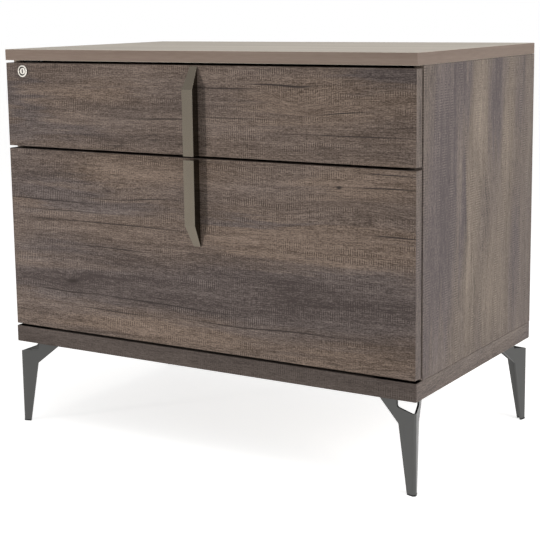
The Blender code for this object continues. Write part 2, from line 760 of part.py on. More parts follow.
def bent_sheet(outline):
    """Fold a flange outline about the corner so that both its halves are alike.

    The outline holds (along, height) points of one flange, from the top of the
    fold round to its foot, with along = 0 on the line where the bend begins.
    """
    bm = bmesh.new()
    middle = LEG_INSET + BEND_RADIUS
    top, foot = outline[0][1], outline[-1][1]
    start, sweep = pi - LEG_SPLAY, pi / 2 + 2 * LEG_SPLAY
    layers = []
    for radius in (BEND_RADIUS, BEND_RADIUS - LEG_STEEL):
        columns = []
        for step in range(BEND_STEPS + 1):
            angle = start + sweep * step / BEND_STEPS
            x, y = middle + radius * cos(angle), middle + radius * sin(angle)
            columns.append((bm.verts.new((x, y, top)), bm.verts.new((x, y, foot))))
        flanges = []
        for swap, column in ((True, columns[0]), (False, columns[-1])):
            verts = []
            for along, height in outline[1:-1]:
                x, y = flange_place(along, radius)
                verts.append(bm.verts.new((y, x, height) if swap else (x, y, height)))
            flanges.append([column[0], *verts, column[1]])
        layers.append((columns, flanges))
    for columns, flanges in layers:
        for flange in flanges:
            bm.faces.new(flange)
        for (top_a, foot_a), (top_b, foot_b) in zip(columns, columns[1:]):
            bm.faces.new((top_a, top_b, foot_b, foot_a))
    outer, inner = layers
    for end in (0, 1):
        tops = zip(outer[0], outer[0][1:], inner[0], inner[0][1:])
        for first, second, first_inner, second_inner in tops:
            bm.faces.new((first[end], second[end], second_inner[end], first_inner[end]))
    for outside, inside in zip(outer[1], inner[1]):
        for a, b, c, d in zip(outside, outside[1:], inside[1:], inside):
            bm.faces.new((a, b, c, d))
    bmesh.ops.recalc_face_normals(bm, faces=bm.faces)
    return bm


def fold_length():
    """Give the length along a flange that the rounded fold takes up."""
    return BEND_RADIUS * (1 + sin(LEG_SPLAY)) / cos(LEG_SPLAY)


def leg_outline():
    """Draw one flange of a leg: notch under the corner, arm, knee and tapered foot."""
    fold = fold_length()
    top = LEG_HEIGHT - SEAT
    foot = PAD_THICKNESS + SEAT
    notch = (NOTCH_LENGTH - fold, LEG_HEIGHT - NOTCH_DROP + NOTCH_RISE)
    start = (0.0, LEG_HEIGHT - NOTCH_DROP)
    arm_start = (NOTCH_LENGTH - fold, top)
    return [
        start,
        *fillet(start, notch, arm_start, NOTCH_RADIUS),
        arm_start,
        (ARM_LENGTH - fold, top),
        (KNEE_LENGTH - fold, LEG_HEIGHT - KNEE_DROP),
        (FOOT_WIDTH - fold, foot),
        (0.0, foot),
    ]


def plate_mesh():
    """Make the plate welded between the arms of a leg, just under their top edges."""
    fold = fold_length()
    weld = BEND_RADIUS - LEG_STEEL / 2
    near = flange_place(NOTCH_LENGTH - fold + PLATE_MARGIN, weld)
    far = flange_place(ARM_LENGTH - fold - PLATE_MARGIN * 2, weld)
    outline = [near, far, far[::-1], near[::-1]]
    top = LEG_HEIGHT - 2 * SEAT
    points = [(x, y, top - PLATE_THICKNESS) for x, y in outline]
    return prism(points, (0.0, 0.0, PLATE_THICKNESS))


def plate_screw_places():
    """Place the four screws of one leg, their heads under its plate."""
    fold = fold_length()
    inwards = BEND_RADIUS - LEG_STEEL - PLATE_SCREW_SIDE
    under = LEG_HEIGHT - 2 * SEAT - PLATE_THICKNESS
    places = []
    for along in (NOTCH_LENGTH + PLATE_SCREW_END, ARM_LENGTH - PLATE_SCREW_END * 1.5):
        x, y = flange_place(along - fold, inwards)
        places.append(facing((x, y, under), (0.0, 0.0, -1.0)))
        places.append(facing((y, x, under), (0.0, 0.0, -1.0)))
    return places


def corner_places():
    """Give each corner of the base as a turn and a place for a leg drawn at the origin."""
    corners = {
        "front_left": (0, -HALF_WIDTH, FRONT_FACE),
        "front_right": (1, HALF_WIDTH, FRONT_FACE),
        "rear_right": (2, HALF_WIDTH, REAR),
        "rear_left": (3, -HALF_WIDTH, REAR),
    }
    return {name: (quarter * pi / 2, (x, y, 0.0)) for name, (quarter, x, y) in corners.items()}


def leg_mesh():
    """Weld a plate into a folded sheet, add its screws and return the finished mesh."""
    leg = add_object("leg", bent_sheet(leg_outline()), None, None)
    plate = add_cutter("plate", plate_mesh(), None)
    weld = leg.modifiers.new("weld", "BOOLEAN")
    weld.operation = "UNION"
    weld.object = plate
    holes = join_screws(leg, "plate_screws", LEG_SCREW, plate_screw_places(), None)
    depsgraph = bpy.context.evaluated_depsgraph_get()
    mesh = bpy.data.meshes.new_from_object(leg.evaluated_get(depsgraph))
    for obj in (leg, plate, holes, bpy.data.objects["plate_screws"]):
        bpy.data.objects.remove(obj)
    return mesh


def make_legs(rails):
    """Stand a leg with its pad at each corner and drill the base for its screws."""
    mesh = leg_mesh()
    end = FOOT_WIDTH - fold_length()
    pad = bent_sheet([(0.0, PAD_THICKNESS), (end, PAD_THICKNESS), (end, 0.0), (0.0, 0.0)])
    pad_mesh = bpy.data.meshes.new("pad")
    pad.to_mesh(pad_mesh)
    pad.free()
    places = []
    for name, (turn, corner) in corner_places().items():
        add_mesh_object("leg_" + name, mesh.copy(), GUNMETAL, None, corner, turn)
        add_mesh_object("foot_pad_" + name, pad_mesh.copy(), RUBBER, None, corner, turn)
        stand = Matrix.Translation(corner) @ Matrix.Rotation(turn, 4, "Z")
        places += [stand @ place for place in plate_screw_places()]
    holes = add_cutter("leg_screw_holes", copies(screw_hole_mesh(LEG_SCREW), places), None)
    for rail in rails.values():
        cut(rail, holes)


def main():
    """Build the carcass, then the drawers, the lock and the legs."""
    clear_scene()
    rails = make_base()
    panels = make_side_panels()
    top = make_top()
    make_floor()
    make_back(panels)
    make_legs(rails)
    make_buffers()

    fronts, boxes, bodies = [], [], []
    sizes = (
        ("upper", UPPER_FRONT_BOTTOM, UPPER_FRONT_HEIGHT, UPPER_BOX_HEIGHT),
        ("lower", LOWER_FRONT_BOTTOM, LOWER_FRONT_HEIGHT, LOWER_BOX_HEIGHT),
    )
    for drawer, bottom, height, box_height in sizes:
        body = add_body(drawer + "_drawer", (0.0, FRONT_FACE, bottom + height / 2))
        level = bottom + BOX_LIFT + RUNNER_RISE
        middle_body = add_body(drawer + "_runner_middles", (0.0, RUNNER_FRONT, level))
        front = make_front(drawer, bottom, height, body)
        box = make_box(drawer, front, bottom, box_height, body)
        members = make_runners(drawer, level, body, middle_body)
        fix_runners(drawer, level, panels, box, members, body)
        fronts.append(front)
        boxes.append(box)
        bodies.append(body)
    make_handles(*fronts, *bodies)
    make_file_rails(boxes[1], bodies[1])
    make_lock_barrel(fronts[0], bodies[0])
    make_lock_plug(add_body("lock_plug_axis", lock_place(), bodies[0]))
    make_strike(top)


main()
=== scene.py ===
"""Finishes and fine surfaces of a two-drawer filing cabinet, laid out as an add-on.

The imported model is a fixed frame. Each operator makes one group of like pieces in it, as surfaces
worked out with numpy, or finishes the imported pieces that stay. All lengths are in metres.
"""

import json
from math import cos, exp, pi, radians, sin

import bmesh
import bpy
import numpy as np
from bpy.props import FloatProperty, FloatVectorProperty, PointerProperty
from mathutils import Matrix, Vector

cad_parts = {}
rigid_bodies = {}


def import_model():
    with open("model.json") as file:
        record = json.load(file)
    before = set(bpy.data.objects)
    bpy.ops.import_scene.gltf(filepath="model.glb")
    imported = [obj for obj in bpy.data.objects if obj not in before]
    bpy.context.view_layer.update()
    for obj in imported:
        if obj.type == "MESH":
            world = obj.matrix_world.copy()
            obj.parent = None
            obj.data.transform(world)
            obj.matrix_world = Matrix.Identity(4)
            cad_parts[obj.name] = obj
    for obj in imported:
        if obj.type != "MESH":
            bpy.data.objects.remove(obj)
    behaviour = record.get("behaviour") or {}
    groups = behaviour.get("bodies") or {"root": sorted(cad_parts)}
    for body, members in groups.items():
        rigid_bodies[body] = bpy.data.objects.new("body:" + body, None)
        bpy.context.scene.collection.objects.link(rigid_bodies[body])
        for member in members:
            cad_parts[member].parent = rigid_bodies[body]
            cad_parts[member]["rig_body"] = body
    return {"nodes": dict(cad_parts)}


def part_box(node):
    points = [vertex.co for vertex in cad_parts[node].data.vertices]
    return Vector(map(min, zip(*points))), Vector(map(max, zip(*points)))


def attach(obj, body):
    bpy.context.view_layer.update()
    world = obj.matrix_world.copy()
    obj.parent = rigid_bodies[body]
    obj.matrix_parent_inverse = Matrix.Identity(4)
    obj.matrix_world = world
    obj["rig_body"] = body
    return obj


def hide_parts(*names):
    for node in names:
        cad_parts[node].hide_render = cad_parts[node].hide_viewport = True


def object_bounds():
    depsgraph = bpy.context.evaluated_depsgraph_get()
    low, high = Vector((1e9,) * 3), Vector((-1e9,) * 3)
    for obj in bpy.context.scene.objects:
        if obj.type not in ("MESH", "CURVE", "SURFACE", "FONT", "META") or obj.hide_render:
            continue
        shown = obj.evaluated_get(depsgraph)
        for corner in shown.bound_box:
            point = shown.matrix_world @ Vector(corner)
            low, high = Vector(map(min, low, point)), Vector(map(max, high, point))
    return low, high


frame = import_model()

bl_info = {
    "name": "Filing Cabinet",
    "version": (1, 0, 0),
    "blender": (4, 5, 0),
    "location": "View3D > Sidebar > Cabinet",
    "description": "Builds the finished surfaces of a two-drawer filing cabinet round its packed model",
    "category": "Add Mesh",
}

CAD_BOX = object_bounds()
MM = 0.001
SEAT = 0.3 * MM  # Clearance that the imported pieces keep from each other.
WAVE_BAND = 0.314  # Length of one band of a wave texture at a scale of 1.
ARC_STEPS = 5
FOLD_STEPS = 16
ARM_STEPS = 11
CREASE_ANGLE = radians(20)
TURNED_SIDES = 64
SCREW_SIDES = 32

# Head radius, head height, shank radius and length of each kind of screw.
WOOD_SCREW = (0.0038, 0.0018, 0.0018, 0.014)
BOX_SCREW = (0.0038, 0.0018, 0.0018, 0.0126)
LEG_SCREW = (0.0045, 0.0022, 0.0022, 0.022)
HANDLE_SCREW = (0.0045, 0.0024, 0.0020, 0.030)
CAM_SCREW = (0.0052, 0.0018, 0.0015, 0.005)
AXES = {"X": 0, "Y": 1, "Z": 2}
SIDES = {"left": -1, "right": 1}


def linear(hex_colour):
    """Turn an sRGB hex colour into linear red, green, blue and a full alpha."""
    channels = [int(hex_colour[i : i + 2], 16) / 255 for i in (0, 2, 4)]
    return (*[c / 12.92 if c <= 0.04045 else ((c + 0.055) / 1.055) ** 2.4 for c in channels], 1.0)


def length(description, default):
    """Declare a length that a user may change."""
    return FloatProperty(description=description, default=default, min=0.0, unit="LENGTH", precision=4)


def angle(description, degrees):
    """Declare an angle that a user may change."""
    return FloatProperty(description=description, default=radians(degrees), subtype="ANGLE")


def number(description, default):
    """Declare a plain number that a user may change."""
    return FloatProperty(description=description, default=default)


def colour(description, hex_colour):
    """Declare a colour that a user may change, from its sRGB hex value."""
    shown = {"size": 4, "subtype": "COLOR", "min": 0.0, "max": 1.0}
    return FloatVectorProperty(description=description, default=linear(hex_colour), **shown)


class FoilSettings(bpy.types.PropertyGroup):
    """The printed oak foil on the boards: its tones and the real sizes of its pattern."""

    tan_light: colour("Bleached early wood of the fronts", "907E71")
    tan_dark: colour("Late wood of the fronts", "43372E")
    slate_light: colour("Weathered grey of the fronts, at its lightest", "807570")
    slate_dark: colour("Weathered grey of the fronts, at its darkest", "3C3432")
    # The side panels carry the fronts' print. Their tones are set lighter, partly as painted light, since a
    # side catches more light than the fronts.
    side_light: colour("Bleached streaks of the side panels", "9A8C7E")
    side_dark: colour("Tan streaks of the side panels, at their darkest", "574D46")
    side_slate_light: colour("Violet grey of the side panels, at its lightest", "867A74")
    side_slate_dark: colour("Violet grey of the side panels, at its darkest", "504849")
    base_light: colour("Grey oak of the base, at its lightest", "665C56")
    base_dark: colour("Grey oak of the base, at its darkest", "39312D")
    crack: colour("Drying cracks and knots", "2A2320")
    grain_width: length("Width of one printed fibre across the grain", 0.0024)
    tone: number("Middle of the print, from its dark to its light", 0.31)
    saw_pitch: length("Distance between two marks of the frame saw", 0.0042)
    edge_radius: length("Radius that the edge banding is scraped to", 0.0009)


class TopSettings(bpy.types.PropertyGroup):
    """The laminate of the top panel and its banding. The face's tones are far paler than the banding's:
    partly the laminate's own print, partly painted light from above.
    """

    # The face's pale tones are partly painted light from above.
    face_light: colour("Pale wood print of the top, at its lightest", "CEC4B7")
    face_dark: colour("Pale wood print of the top, at its darkest", "B0A79A")
    band_light: colour("Banding round the top, at its lightest", "84756A")
    band_dark: colour("Banding round the top, at its darkest", "726258")


class HandleSettings(bpy.types.PropertyGroup):
    """The flat bar handles."""

    slant: length("Height over which the bar runs down to its tip", 0.0385)
    undercut: length("How far the left side leans in under the face, for the fingers", 0.008)
    tip: length("Thickness of the bar at its tip", 0.001)
    edge_radius: length("Radius on the long edges of the bar", 0.0005)
    finish: colour("Bronze-grey anodising", "665F55")


class LegSettings(bpy.types.PropertyGroup):
    """The legs folded from sheet steel, with their welded plates."""

    steel: length("Thickness of the sheet", 0.0035)
    bend_inside: length("Inside radius of the fold", 0.0015)
    inset: length("Distance of the fold from both faces of the cabinet", 0.003)
    splay: angle("Angle between a flange and the face beside it", 18)
    notch_drop: length("Depth of the notch under the corner, at the fold", 0.020)
    notch_rise: length("Rise of the notch towards its inner end", 0.004)
    notch_length: length("Distance from the fold to the end of the notch", 0.040)
    notch_radius: length("Radius in the corner of the notch", 0.005)
    arm_length: length("Distance from the fold to the tip of an arm", 0.110)
    knee_length: length("Distance from the fold to the knee", 0.036)
    knee_drop: length("Depth of the knee under the base", 0.043)
    foot_width: length("Width of a flange at the floor", 0.017)
    cut_radius: length("Radius on the cut edges of the sheet", 0.0005)
    plate: length("Thickness of the plate welded between the arms", 0.003)
    plate_margin: length("Distance of the plate from the ends of the arms", 0.004)
    screw_side: length("Distance of the plate's screws from the flanges", 0.015)
    screw_end: length("Distance of the plate's screws from its ends", 0.014)
    finish: colour("Gunmetal powder coat", "4E4E4D")


class LockSettings(bpy.types.PropertyGroup):
    """The cam lock in the upper front."""

    ring_width: length("Width of the raised ring of the rosette", 0.0032)
    groove_depth: length("Depth of the dish inside the ring", 0.0014)
    barrel_radius: length("Radius of the hole that the barrel needs in the front", 0.0093)
    bevel: length("Bevel round the face of the plug", 0.0006)
    tail_radius: length("Radius of the plug's tail, which carries the cam", 0.004)
    key_width: length("Width of the keyhole", 0.0028)
    key_height: length("Height of the keyhole", 0.0074)
    key_depth: length("Depth of the keyhole", 0.008)
    finish: colour("Polished nickel plate", "D0CBC3")


class FittingSettings(bpy.types.PropertyGroup):
    """The runners, the screws and the plain inner parts."""

    steel: length("Thickness of the runners' steel", 0.0012)
    bend: length("Outside radius of the runners' bends", 0.0022)
    width: length("Room between the carcass and the drawer box that a runner fills", 0.0127)
    screw_distance: length("Distance of a runner's screws from its ends", 0.050)
    zinc: colour("Bright zinc plate on steel", "9EA0A2")
    black_zinc: colour("Black zinc plate on steel", "262626")
    # Moulded rubber for the feet and buffers. In the keyhole the same black is painted shade.
    rubber: colour("Moulded rubber", "232323")
    board: colour("Melamine on the inner boards", "8C8074")


class StageSettings(bpy.types.PropertyGroup):
    """The camera, the lamps and the floor."""

    camera_place: FloatVectorProperty(
        description="Where the camera stands", default=(1.3173, -2.1094, 0.7849), unit="LENGTH"
    )
    camera_turn: angle("Turn to the left of straight on", 31.91)
    camera_pitch: angle("Tilt below the horizon", 9.36)
    camera_roll: angle("Roll about the line of sight", -0.76)
    lens: number("Focal length in millimetres", 89.88)
    shift: number("Vertical shift of the lens", -0.08)
    key_watts: number("Power of the low key lamp", 20.0)
    card_watts: number("Power of the card that the metal reflects", 0.9)
    side_watts: number("Power of the soft lamp at the right", 40.0)
    overhead_watts: number("Power of the overhead lamp", 16.0)
    sky: number("Brightness of the studio round the cabinet", 0.23)
    glow: number("White that the floor adds to what the camera sees of it", 0.72)
    paper: colour("Seamless paper of the floor", "F4F3F1")


class CabinetSettings(bpy.types.PropertyGroup):
    """All the settings of the cabinet."""

    foil: PointerProperty(type=FoilSettings)
    top: PointerProperty(type=TopSettings)
    handles: PointerProperty(type=HandleSettings)
    legs: PointerProperty(type=LegSettings)
    lock: PointerProperty(type=LockSettings)
    fittings: PointerProperty(type=FittingSettings)
    stage: PointerProperty(type=StageSettings)


# Surfaces


def joined(*parts):
    """Join coordinates into points, with all of them brought to one shape."""
    return np.stack(np.broadcast_arrays(*parts), axis=-1)


def corners(node):
    """Give the low and the high corner of a node's box as arrays."""
    return [np.array(corner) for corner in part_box(node)]


def put(name, data):
    """Put a new object with this data in the scene."""
    made = bpy.data.objects.new(name, data)
    bpy.context.scene.collection.objects.link(made)
    return made


def rounded_rectangle(half_width, half_height, radius):
    """Give a rectangle's outline with arcs at its corners, as points (across, up).

    Each quarter turn of the angle t keeps one corner's centre, so that a point is
    centre + radius * (cos t, sin t). The sizes may be arrays with one value a ring.
    """
    half_width, half_height, radius = [np.atleast_1d(v)[:, None] for v in (half_width, half_height, radius)]
    quarter = np.repeat(np.arange(4), ARC_STEPS + 1)
    t = (quarter + np.tile(np.linspace(0, 1, ARC_STEPS + 1), 4)) * pi / 2
    right = np.where((quarter == 0) | (quarter == 3), 1, -1)
    upper = np.where(quarter < 2, 1, -1)
    across = right * (half_width - radius) + radius * np.cos(t)
    up = upper * (half_height - radius) + radius * np.sin(t)
    return joined(across, up)


def eased_run(low, high, radius):
    """Give the levels of a straight run whose ends are eased, and the inset at each.

    At both ends the level rises by radius * (1 - cos t) while the inset falls by
    radius * sin t, for t from 0 to a quarter turn.
    """
    t = np.linspace(0, pi / 2, ARC_STEPS + 1)
    rise, inset = radius * (1 - np.cos(t)), radius * (1 - np.sin(t))
    return np.concatenate([low + rise, high - rise[::-1]]), np.concatenate([inset, inset[::-1]])


def tube_faces(rings, count, closed=False):
    """Give the quads of a tube of rings, then its two end caps unless it closes on itself."""
    ring, corner = np.meshgrid(np.arange(rings if closed else rings - 1), np.arange(count), indexing="ij")
    after, following = (corner + 1) % count, (ring + 1) % rings
    here, there = ring * count, following * count
    faces = joined(here + corner, here + after, there + after, there + corner).reshape(-1, 4).tolist()
    if not closed:
        faces += [list(range(count))[::-1], list(range((rings - 1) * count, rings * count))]
    return faces


def add_piece(name, points, faces, body, finishes, replaced=()):
    """Make a closed piece from its points and faces, and tie it to its body.

    finishes is one material, or three for the faces that look along X, Y and Z.
    """
    mesh = bpy.data.meshes.new(name)
    mesh.from_pydata(np.asarray(points).reshape(-1, 3).tolist(), [], faces)
    shell = bmesh.new()
    shell.from_mesh(mesh)
    bmesh.ops.recalc_face_normals(shell, faces=shell.faces)
    shell.to_mesh(mesh)
    shell.free()
    finishes = finishes if isinstance(finishes, tuple) else (finishes,)
    for finish in finishes:
        mesh.materials.append(finish)
    if len(finishes) > 1:
        normals = np.zeros(len(mesh.polygons) * 3)
        mesh.polygons.foreach_get("normal", normals)
        mesh.polygons.foreach_set("material_index", np.abs(normals.reshape(-1, 3)).argmax(axis=1))
    mesh.shade_smooth()
    mesh.set_sharp_from_angle(angle=CREASE_ANGLE)
    piece = put(name, mesh)
    weighted = piece.modifiers.new("flat faces stay flat", "WEIGHTED_NORMAL")
    weighted.keep_sharp = True
    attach(piece, body)
    if replaced:
        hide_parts(*replaced)


def board_rings(low, high, radius):
    """Carry a board's rounded outline through its thickness, drawn in where its edges are eased."""
    middle, half = (low + high) / 2, (high - low) / 2
    thin = int(half.argmin())
    wide, tall = [axis for axis in range(3) if axis != thin]
    levels, insets = eased_run(low[thin], high[thin], radius)
    outline = rounded_rectangle(half[wide] - insets, half[tall] - insets, radius * 1.5 - insets)
    rings = np.empty((*outline.shape[:2], 3))
    rings[..., thin] = levels[:, None]
    rings[..., wide] = middle[wide] + outline[..., 0]
    rings[..., tall] = middle[tall] + outline[..., 1]
    return rings


def add_rings(name, shells, body, finishes, replaced=(), closed=False):
    """Skin one row of rings, or each of several, as one piece."""
    points, faces = [], []
    for rings in shells if isinstance(shells, list) else [shells]:
        start = sum(len(part) for part in points)
        faces += [[start + corner for corner in face] for face in tube_faces(*rings.shape[:2], closed)]
        points.append(rings.reshape(-1, 3))
    add_piece(name, np.concatenate(points), faces, body, finishes, replaced)


def body_of(node):
    """Name the body that holds a node."""
    return frame["nodes"][node]["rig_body"]


def turned_rings(profile, centre, sides=TURNED_SIDES):
    """Turn a (radius, distance behind the front's face) profile round an axis along Y."""
    radius, back = np.array(profile).T[:, :, None]
    t = np.arange(sides) * 2 * pi / sides
    x, z = centre[0] + radius * np.cos(t), centre[2] + radius * np.sin(t)
    return joined(x, centre[1] + back, z)


def bored(piece, centre, radius):
    """Bore a round hole through a piece along Y, by a Boolean whose result it keeps."""
    reach = 1.0  # Past both faces of any board.
    cutter = bpy.data.meshes.new("bore")
    rings = turned_rings([(radius, -reach), (radius, reach)], centre)
    cutter.from_pydata(rings.reshape(-1, 3).tolist(), [], tube_faces(*rings.shape[:2]))
    drill = put("bore", cutter)
    hole = piece.modifiers.new("bore", "BOOLEAN")
    hole.operation, hole.object = "DIFFERENCE", drill
    piece.modifiers.move(len(piece.modifiers) - 1, 0)
    weighted = piece.modifiers["flat faces stay flat"]
    weighted.show_viewport = False
    mesh = bpy.data.meshes.new_from_object(piece.evaluated_get(bpy.context.evaluated_depsgraph_get()))
    weighted.show_viewport = True
    piece.modifiers.remove(hole)
    bpy.data.objects.remove(drill)
    mesh.set_sharp_from_angle(angle=CREASE_ANGLE)
    piece.data = mesh


def stood(rings, place, direction):
    """Stand rings that were drawn about +Z on a place, with +Z turned to a direction."""
    turn = Vector((0.0, 0.0, 1.0)).rotation_difference(Vector(direction)).to_matrix()
    return rings @ np.array(turn).T + np.array(place)


def screw_rings(head_radius, head_height, shank_radius, length):
    """Make a pan-head screw with a cross recess about +Z, its seat at z = 0.

    The head's height falls with the fourth power of the distance from the axis. The recess
    takes three quarters of it off where a point is near one arm's middle and not past its end.
    Both are shares of the head's radius, and the recess's walls slope.
    """
    half_arm, wall, arm_end, end_wall = 0.16, 0.05, 0.58, 0.1
    share = np.array([0.05, 0.11, 0.17, 0.25, 0.35, 0.45, 0.53, 0.62, 0.75, 0.88, 0.96, 1.0])[:, None]
    t = np.arange(SCREW_SIDES) * 2 * pi / SCREW_SIDES
    x, y = share * np.cos(t), share * np.sin(t)
    near, far = np.minimum(abs(x), abs(y)), np.maximum(abs(x), abs(y))
    recess = np.clip((half_arm - near) / wall, 0, 1) * np.clip((arm_end - far) / end_wall, 0, 1)
    height = head_height * (1 - 0.4 * share**4 - 0.75 * recess)
    head = joined(x * head_radius, y * head_radius, height)
    profile = [(head_radius, 0.0), (shank_radius, 0.0)]
    profile += [(shank_radius, -0.85 * length), (0.1 * shank_radius, -length)]
    radius, level = np.array(profile).T[:, :, None]
    return np.concatenate([head, joined(radius * np.cos(t), radius * np.sin(t), level)])


def channel_outline(web, lip, half, steel, radius):
    """Give a channel's section, with rounded bends, as points (inward, up).

    A bend's point is its centre + rho * (-side * sin t, cos t) for t over a quarter turn, where
    side tells which way the lips point and rho is the outside, then the inside radius.
    """
    side = 1 if lip > web else -1
    t = np.linspace(0, pi / 2, ARC_STEPS + 1)

    def bend(rho):
        return web + side * radius - side * rho * np.sin(t), half - radius + rho * np.cos(t)

    (across, up), (inner_across, inner_up) = bend(radius), bend(radius - steel)
    x = [[lip], across, across[::-1], [lip, lip], inner_across, inner_across[::-1], [lip]]
    z = [[half], up, -up[::-1], [-half, steel - half], -inner_up, inner_up[::-1], [half - steel]]
    return joined(np.concatenate(x), np.concatenate(z))


# Finishes


def connect(tree, node, inputs):
    """Give each of a node's inputs a value, or a link from a socket."""
    for key, value in inputs.items():
        if isinstance(value, bpy.types.NodeSocket):
            tree.links.new(value, node.inputs[key])
        else:
            node.inputs[key].default_value = value


def add(tree, kind, inputs=(), output=0, **settings):
    """Add a node, set it, connect its inputs, in order or by name, and give one of its outputs."""
    made = tree.nodes.new("ShaderNode" + kind)
    for name, value in settings.items():
        setattr(made, name, value)
    connect(tree, made, inputs if isinstance(inputs, dict) else dict(enumerate(inputs)))
    return made.outputs[output]


def start_material(name):
    """Make a material with a Principled shader, and give it with its tree."""
    material = bpy.data.materials.new(name)
    material.use_nodes = True
    return material, material.node_tree


def finish_material(tree, height, distance, strength, inputs):
    """Connect the Principled shader, with a bump whose height of 1 stands for a distance."""
    bump = add(tree, "Bump", {"Height": height, "Distance": distance, "Strength": strength})
    connect(tree, tree.nodes["Principled BSDF"], {**inputs, "Normal": bump})


def spots(tree, vector, places):
    """Add up soft oval spots: amount * exp(-(distance / spread) ** 2) for each place.

    A place is (along, across, spread along, spread across, amount), in millimetres but for the
    amount.
    """
    total = 0.0
    for *lengths, amount in places:
        along, across, spread_along, spread_across = [value * MM for value in lengths]
        offset = add(tree, "VectorMath", (vector, (along, across, 0.0)), operation="SUBTRACT")
        scale = (1 / spread_along, 1 / spread_across, 0.0)
        offset = add(tree, "VectorMath", (offset, scale), operation="MULTIPLY")
        square = add(tree, "VectorMath", (offset, offset), "Value", operation="DOT_PRODUCT")
        spot = add(tree, "Math", (exp(-1.0), square), operation="POWER")
        total = add(tree, "Math", (spot, amount, total), operation="MULTIPLY_ADD")
    return total


def sheet_place(tree, axes, shift=0.0):
    """Give the place along and across the grain of a sheet, and both as a vector.

    axes names the direction along the grain and the one across it. The shift picks another print.
    """
    place = add(tree, "SeparateXYZ", (add(tree, "TexCoord", output="Object"),)).node.outputs
    along, across = [place[AXES[axis]] for axis in axes]
    return along, across, add(tree, "CombineXYZ", (along, across, shift))


def stretched_noise(tree, vector, scale, detail, roughness=0.5):
    """Give noise about zero. The scale counts its features in a metre along each direction."""
    spread = add(tree, "Mapping", {"Vector": vector, "Scale": scale})
    inputs = {"Vector": spread, "Scale": 1.0, "Detail": detail, "Roughness": roughness}
    return add(tree, "Math", (add(tree, "TexNoise", inputs), 0.5), operation="SUBTRACT")


